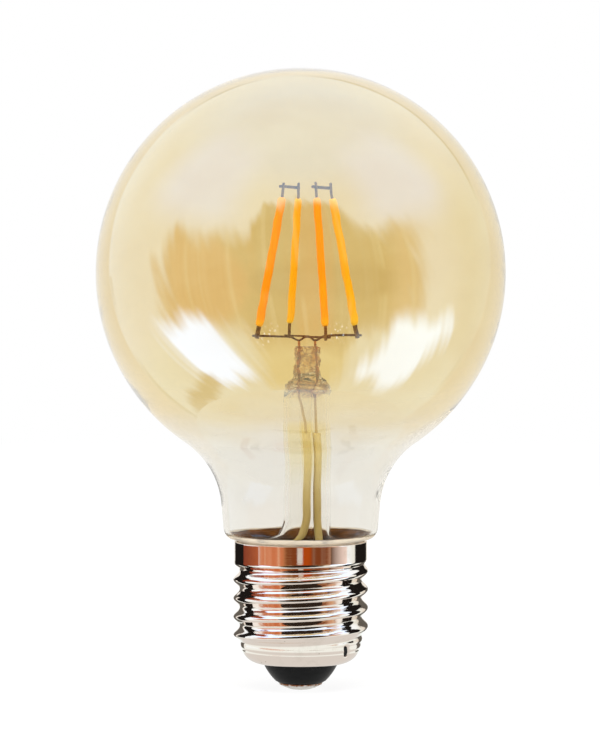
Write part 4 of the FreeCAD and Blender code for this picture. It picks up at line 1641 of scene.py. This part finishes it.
def driver_finishes() -> dict[str, Finish]:
    """A finish for each solid of the driver, by node.

    Returns:
        The finishes in the order of dressing.
    """
    tin = DrawnMetal("tinned_wire", (0.78, 0.77, 0.74), (0.5, 0.48, 0.45), 0.4, 0.2)
    return {
        "driver_board": Laminate(),
        "driver_chip": Gritty("chip_package", (0.012, 0.012, 0.013), (0.03, 0.03, 0.03), 0.12, 0.01, 0.5),
        "bridge_rectifier": Gritty(
            "bridge_package", (0.014, 0.014, 0.015), (0.032, 0.032, 0.032), 0.12, 0.01, 0.5),
        "smoothing_capacitor": DrawnMetal(
            "capacitor_can", (0.72, 0.72, 0.73), (0.55, 0.55, 0.56), 0.4, 0.3, 2.0),
        "fusible_resistor": Banded(), "live_wire": tin, "neutral_wire": tin, "neutral_solder": tin}


@dataclass
class DriverParts:
    """The small driver inside the cap: its solids stay as they are and get their own finishes."""

    finishes: dict[str, Finish] = field(default_factory=driver_finishes)

    def dress(self) -> None:
        """Puts a finish on every solid that still shows."""
        for node, finish in self.finishes.items():
            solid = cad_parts[node]
            solid.data.materials.clear()
            solid.data.materials.append(finish.material())
            log.info("%s dressed", node)


# The set


@dataclass
class RoomPaint:
    """The light of the mirrored room by direction, laid down paint over paint."""

    azimuth: Array  # degrees to the right of the camera's side
    height: Array  # degrees above the horizon
    way: Array  # unit directions

    def __post_init__(self) -> None:
        """Starts from the ceiling's light and draws the unevenness that the parts of the room share."""
        turn = np.radians(self.azimuth)
        self.light = np.zeros(self.way.shape) + np.array(Paint.CEILING.value)
        self.rag = ripple(turn * 5.0, 1.0)
        self.fine = ripple(turn * 13.0 + 0.12 * self.height, 2.0)
        self.cloud = ripple(turn * 9.0 + 0.09 * self.height, 5.0)
        self.cloud = self.cloud * ripple(0.11 * self.height + 0.03 * self.azimuth, 6.0)
        self.middle = self.between(self.azimuth + 4.0 * self.fine, -30.0, 32.0, 9.0)
        table_edge = -25.0 - 12.0 * self.middle + 3.0 * self.rag + 4.0 * self.cloud
        self.above_table = smooth(self.height - table_edge, -9.0, 9.0)

    @staticmethod
    def between(value: Array, low: float, high: float, soft: float) -> Array:
        """1 between low and high, with soft edges."""
        return smooth(value, low - soft, low + soft) * (1 - smooth(value, high - soft, high + soft))

    def lay(self, share: Array, paint: Paint) -> None:
        """Lays a paint over what is there."""
        share = share[..., None]
        self.light = self.light * (1 - share) + np.array(paint.value) * share

    def ceiling(self) -> None:
        """A skylight overhead, cooler light high on both sides and a dimmer far right."""
        between, azimuth, height = self.between, self.azimuth, self.height
        self.lay(smooth(height, 36.0, 64.0), Paint.SKYLIGHT)
        sides = between(np.abs(azimuth), 42.0, 104.0, 17.0) * between(height, 26.0, 66.0, 10.0)
        self.lay(sides, Paint.COOL_SIDE)
        self.lay(smooth(azimuth, 78.0, 112.0) * between(height, -34.0, 28.0, 12.0) * 0.6, Paint.FAR_RIGHT)

    def table(self) -> None:
        """A pale table, golden in the middle."""
        self.lay(1 - self.above_table, Paint.TABLE)
        self.lay(self.between(self.height, -66.0, -28.0, 8.0) * self.middle * 0.95, Paint.TABLE_MIDDLE)

    def wall_share(self) -> Array:
        """Where the furnished walls show: above the table and below a ragged top that stands highest ahead.

        Returns:
            Shares from 0 to 1 by direction.
        """
        azimuth, fine, cloud = self.azimuth, self.fine, self.cloud
        plateau = self.between(azimuth + 2.0 * fine, -26.0, 28.0, 10.0)
        side_top = 26.0 - 0.15 * np.maximum(-azimuth, 0) - 0.08 * np.maximum(azimuth, 0)
        top = side_top + (38.0 - side_top) * plateau + 2.5 * self.rag + 2.5 * fine + 5.0 * cloud
        soft = 8.0 - 4.0 * plateau
        core = self.between(azimuth + 6.0 * cloud + 4.0 * fine, -80.0, 69.0, 10.0)
        return smooth(self.height - top, soft, -soft) * self.above_table * core

    def walls(self) -> None:
        """Warm walls with streaks, a dark lens across the middle, a warm stripe and pale gaps.

        The lens is 11 sqrt(1 - ((azimuth - 14) / 44)^2) degrees high to each side of its middle line.
        """
        between, azimuth, height, fine = self.between, self.azimuth, self.height, self.fine
        turn, walls = np.radians(azimuth), self.wall_share()
        left = between(azimuth + 1.1 * np.abs(height + 5.0), -120.0, -22.0, 7.0)
        streaks = smooth(ripple(turn * 23.0 + 0.05 * height, 3.0), -0.1, 0.5)
        half = 11.0 * np.sqrt(np.maximum(0.0, 1.0 - ((azimuth - 14.0) / 44.0) ** 2)) + 0.01
        lens = (1 - smooth(np.abs(height + 3.0) / half, 0.5, 1.3)) * smooth(half, 1.0, 6.0)
        gaps = smooth(ripple(turn * 17.0 + 0.04 * height, 8.0), 0.25, 0.8)
        self.lay(walls, Paint.WALL)
        self.lay(walls * left * 0.85, Paint.LEFT_WALL)
        self.lay(walls * left * streaks * 0.35, Paint.LEFT_STREAK)
        self.lay(walls * between(azimuth + 3.0 * fine, -28.0, 56.0, 5.0) * 0.75, Paint.FACING_WALL)
        self.lay(walls * lens * 0.95, Paint.SHADE)
        self.lay(walls * between(azimuth + 1.5 * fine, -3.0, 18.0, 4.0) * 0.6, Paint.WARM_STRIPE)
        self.lay(walls * streaks * 0.35 * between(azimuth, 14.0, 60.0, 5.0), Paint.RIGHT_STREAK)
        self.lay(walls * between(azimuth, 52.0, 88.0, 8.0) * 0.7, Paint.RIGHT_WALL)
        self.lay(walls * gaps * (1 - lens) * 0.3, Paint.GAP)

    def windows(self) -> None:
        """Glints beside the wires, a bright ragged window to the left and to the right, and a low bar."""
        between, azimuth, height, fine, cloud = self.between, self.azimuth, self.height, self.fine, self.cloud
        glints = ripple(1.3 * azimuth + 0.5 * height, 3.0) * ripple(1.1 * height - 0.5 * azimuth, 5.0)
        beside = between(azimuth - 0.8 * height, 1.0, 9.0, 3.0) * between(height, -37.0, -27.0, 3.0)
        further = between(azimuth, 19.0, 28.0, 3.0) * between(height, -35.0, -26.0, 3.0)
        left = between(azimuth + 0.5 * height + 5.0 * fine, -104.0, -64.0, 8.0)
        left = left * between(height + 3.0 * fine + 4.0 * cloud, -54.0, -20.0, 6.0)
        right = between(azimuth - 0.4 * height + 5.0 * fine, 67.0, 105.0, 8.0)
        right = right * between(height + 3.0 * self.rag + 4.0 * cloud + 2.0 * fine, -52.0, -18.0, 6.0)
        bar = between(azimuth + 2.0 * fine, -122.0, -72.0, 5.0)
        bar = bar * between(height + 2.0 * fine, -55.0, -46.0, 3.0)
        self.lay(smooth(glints, 0.16, 0.42) * np.maximum(beside, further), Paint.GLINT)
        self.lay(left, Paint.LEFT_WINDOW)
        self.lay(right, Paint.RIGHT_WINDOW)
        self.lay(bar * 0.8, Paint.LOW_BAR)

    def backdrop(self) -> None:
        """A white backdrop behind the lamp, greyer to both sides, with a broken dark line round it.

        Its edge lies 48.2 + 1.6 cos(roll) - 15 sin(roll) + 3 |sin(roll)| degrees from straight behind,
        plus a ripple, with roll the turn about the view.
        """
        rear = np.degrees(np.arccos(np.clip(self.way[..., 1], -1, 1)))
        roll = np.arctan2(self.way[..., 2], self.way[..., 0])
        edge = 48.2 + 1.6 * np.cos(roll) - 15.0 * np.sin(roll) + 3.0 * np.abs(np.sin(roll))
        edge = edge + ripple(3 * roll, 4.0)
        sheet = 1 - smooth(rear, edge - 1.5, edge + 1.5)
        line = np.exp(-((rear - edge - 2.0) / 1.6) ** 2) * smooth(ripple(2.0 * roll, 7.0), -0.5, 0.6)
        self.lay(sheet, Paint.BACKDROP)
        self.lay(sheet * np.abs(np.cos(roll)) * (0.8 + 0.2 * np.cos(roll)), Paint.BACKDROP_SIDE)
        self.lay(line * 0.6, Paint.BACKDROP_LINE)

    def finished(self) -> Array:
        """Paints the room from the ceiling down and the backdrop last.

        Returns:
            (..., 3) radiances; 1 is white.
        """
        self.ceiling()
        self.table()
        self.walls()
        self.windows()
        self.backdrop()
        return self.light


@dataclass
class Studio:
    """Camera, lamps, white floor and the room that the glass and metal mirror."""

    distance: float = 0.620
    camera_z: float = 0.0860
    aim: tuple[float, float] = (-0.00013, 0.0616)
    view_height: float = 0.1467
    sensor: float = 36.0
    lamp_aim_z: float = 0.06
    floor_half: float = 0.8
    floor_share: float = 0.82
    room_radius: float = 1.6
    room_z: float = 60.0
    ambient: float = 0.55
    bounces: int = 28

    def camera(self) -> None:
        """A long lens at the photograph's height, aimed at the middle of its frame."""
        data = bpy.data.cameras.new("camera")
        eye = bpy.data.objects.new("camera", data)
        drop = self.camera_z - self.aim[1]
        reach = math.hypot(self.distance, drop)
        data.sensor_width = self.sensor
        data.lens = self.sensor * reach / self.view_height
        data.clip_start, data.clip_end = 0.01, 20.0
        eye.location = (self.aim[0], -self.distance, self.camera_z)
        eye.rotation_euler = (math.pi / 2 - math.atan2(drop, self.distance), 0.0, 0.0)
        bpy.context.scene.collection.objects.link(eye)
        bpy.context.scene.camera = eye

    def lamps(self) -> None:
        """Three large soft lamps: above, left and right. Only matt surfaces see them."""
        lamps = {"top": ((0.0, -0.35, 0.95), 0.8, 7.0), "left": ((-0.8, -0.5, 0.45), 0.6, 4.0),
                 "right": ((0.8, -0.5, 0.45), 0.6, 4.0)}
        for name, (place, size, power) in lamps.items():
            data = bpy.data.lights.new("lamp_" + name, "AREA")
            data.shape, data.size, data.energy = "DISK", size, power
            lamp = bpy.data.objects.new("lamp_" + name, data)
            lamp.location = place
            aim = np.array([0.0, 0.0, self.lamp_aim_z]) - np.array(place)
            tilt = math.acos(-aim[2] / np.linalg.norm(aim))
            lamp.rotation_euler = (tilt, 0.0, math.atan2(aim[1], aim[0]) - math.pi / 2)
            lamp.visible_glossy = lamp.visible_transmission = False
            bpy.context.scene.collection.objects.link(lamp)

    @staticmethod
    def seen(graph: Graph) -> Value:
        """1 for rays that look at the set, straight or through glass or in a mirror.

        Args:
            graph: The node tree that asks.

        Returns:
            The number.
        """
        rays = graph.node("ShaderNodeLightPath").outputs
        straight, mirrored, through = (
            Value(graph, rays[name]) for name in ("Is Camera Ray", "Is Glossy Ray", "Is Transmission Ray"))
        return straight.greater(mirrored).greater(through)

    def world(self) -> None:
        """White where it is looked at, and a softer light elsewhere."""
        world = bpy.data.worlds.new("studio")
        bpy.context.scene.world = world
        world.use_nodes = True
        graph = Graph(world.node_tree)
        strength = self.seen(graph) * (1.0 - self.ambient) + self.ambient
        sky = graph.node("ShaderNodeBackground", {}, {"Color": (1.0, 1.0, 1.0, 1.0), "Strength": strength})
        graph.node("ShaderNodeOutputWorld", {}, {"Surface": sky.outputs[0]})

    def floor(self) -> None:
        """Pale floor that keeps a soft shadow: four parts plain white, one part lit paper."""
        side = np.linspace(-self.floor_half, self.floor_half, 9) / MM
        x, y = np.meshgrid(side, side, indexing="ij")
        grid = Grid(np.stack([x, y, 0 * x], axis=-1), columns_meet=False)
        self.place_set("floor", grid, Glow.FLOOR)

    def room(self) -> None:
        """A ball round the set that only mirror rays see, with a light for every direction."""
        azimuth, height = np.meshgrid(np.linspace(-180, 180, 721), np.linspace(90, -90, 361))
        a, e = np.radians(azimuth), np.radians(height)
        way = np.stack([np.sin(a) * np.cos(e), -np.cos(a) * np.cos(e), np.sin(e)], axis=-1)
        grid = Grid(way * self.room_radius / MM + self.room_z * UP, columns_meet=False)
        self.painted("room", grid, RoomPaint(azimuth, height, way).finished())

    def painted(self, name: str, grid: Grid, light: Array) -> None:
        """A set surface that only mirror rays see, with its own light at every point.

        Args:
            name: The surface's name.
            grid: Its shape.
            light: (rows, columns, 3) radiances.
        """
        thing = self.place_set(name, grid, Glow.PAINTED)
        layer = thing.data.color_attributes.new("light", "FLOAT_COLOR", "POINT")
        opaque = np.ones_like(light[..., :1])
        layer.data.foreach_set("color", np.concatenate([light, opaque], axis=-1).astype(np.float32).ravel())

    @staticmethod
    def blend(near: Paint, far: Paint, share: Array) -> Array:
        """Light that runs evenly from one paint to another."""
        share = share[..., None]
        return np.array(near.value) * (1 - share) + np.array(far.value) * share

    def cards(self) -> None:
        """Upright cards round the cap, which edge and warm its mirror finish, and a pale mat under it.

        A card runs straight from one (x, y) to another, between two heights, and its light runs evenly from
        one paint to the other. The lens tapers to both ends. The mat dims towards the lamp.
        """
        dark, dim, grey, lens = Paint.DARK, Paint.DIM, Paint.GREY, Paint.LENS
        cards = {
            "edge_left": ((-17.5, -3.4), (-17.5, 11.0), (21.5, 29.3), dark, dark),
            "edge_right": ((17.5, -5.2), (17.5, 11.0), (21.5, 29.3), dark, dark),
            "back_left": ((-17.5, -5.0), (-17.5, 1.5), (8.8, 21.5), dark, dark),
            "back_right": ((17.5, -9.0), (17.5, -2.5), (8.8, 21.5), dark, dark),
            "rim_left": ((-17.5, 4.0), (-17.5, 24.0), (5.0, 21.5), dim, dim),
            "rim_right": ((17.5, 3.0), (17.5, 24.0), (5.0, 21.5), dim, dim),
            "warm_left": ((-18.5, -12.2), (-18.5, -1.5), (21.0, 28.5), Paint.RUST, Paint.DEEP_RUST),
            "warm_right": ((19.0, -21.5), (19.0, -9.8), (21.0, 28.5), Paint.BROWN, Paint.BLUSH),
            "stripe": ((-2.4, -30.0), (1.45, -30.0), (23.8, 28.5), grey, grey),
            "lens": ((-12.5, -22.0), (14.5, -22.0), (9.0, 23.8), lens, lens)}
        u, v = np.meshgrid(np.linspace(0, 1, 25), np.linspace(0, 1, 7), indexing="ij")
        for name, (start, end, z, near, far) in cards.items():
            tall = np.sqrt(np.sin(math.pi * u) + 0.01) if name == "lens" else 1.0
            points = np.stack([start[0] + (end[0] - start[0]) * u, start[1] + (end[1] - start[1]) * u,
                               (z[0] + z[1]) / 2 + (z[1] - z[0]) * (v - 0.5) * tall], axis=-1)
            self.painted("card_" + name, Grid(points, columns_meet=False), self.blend(near, far, u))
        mat = lathe(run((0.0, -0.2), (60.0, -0.2), 31), 64)
        away = smooth(np.hypot(mat.points[..., 0], mat.points[..., 1]), 22.0, 40.0)
        self.painted("mat", mat, self.blend(Paint.MAT_NEAR, Paint.MAT_FAR, away))

    def place_set(self, name: str, grid: Grid, glow: Glow) -> bpy.types.Object:
        """Makes one surface of the set, which is stage and no part of the lamp.

        Args:
            name: The surface's name.
            grid: Its shape.
            glow: What it shows.

        Returns:
            The object.
        """
        mesh = bpy.data.meshes.new(name)
        mesh.from_pydata(grid.points.reshape(-1, 3) * MM, [], grid.quads().tolist())
        mesh.materials.append(self.set_material(name, glow))
        thing = bpy.data.objects.new(name, mesh)
        bpy.context.scene.collection.objects.link(thing)
        hidden = ("camera", "diffuse", "transmission", "volume_scatter", "shadow")
        for ray in ("glossy",) if glow is Glow.FLOOR else hidden:
            setattr(thing, "visible_" + ray, False)
        return thing

    def set_material(self, name: str, glow: Glow) -> bpy.types.Material:
        """White floor paper, or the light that is painted on the surface.

        Args:
            name: The surface's name.
            glow: What it shows.

        Returns:
            The material.
        """
        made = bpy.data.materials.new("set_" + name)
        made.use_nodes = True
        graph = Graph(made.node_tree)
        if glow is Glow.FLOOR:
            paper = graph.node("ShaderNodeBsdfDiffuse", {}, {"Color": (0.86, 0.86, 0.86, 1.0)})
            white = graph.node("ShaderNodeEmission", {}, {"Color": (1.0, 1.0, 1.0, 1.0), "Strength": 1.07})
            share = self.seen(graph) * self.floor_share
            shader = graph.node("ShaderNodeMixShader", {},
                                {0: share, 1: paper.outputs[0], 2: white.outputs[0]})
        else:
            light = graph.node("ShaderNodeAttribute", {"attribute_name": "light"})
            shader = graph.node("ShaderNodeEmission", {}, {"Color": light.outputs["Color"], "Strength": 1.0})
        graph.node("ShaderNodeOutputMaterial", {}, {"Surface": shader.outputs[0]})
        return made

    def build(self) -> None:
        """The whole set."""
        scene = bpy.context.scene
        scene.view_settings.view_transform = "Standard"
        cycles = scene.cycles
        cycles.max_bounces = cycles.transmission_bounces = cycles.glossy_bounces = self.bounces
        self.camera()
        self.lamps()
        self.world()
        self.floor()
        self.room()
        self.cards()


def main() -> None:
    logging.basicConfig(level=logging.INFO, format="%(name)s: %(message)s")
    Studio().build()
    mount = GlassMount()
    GlassEnvelope().build()
    mount.build()
    FilamentCage().build(mount)
    ScrewCap().build()
    DriverParts().dress()


if __name__ == "__main__":
    main()
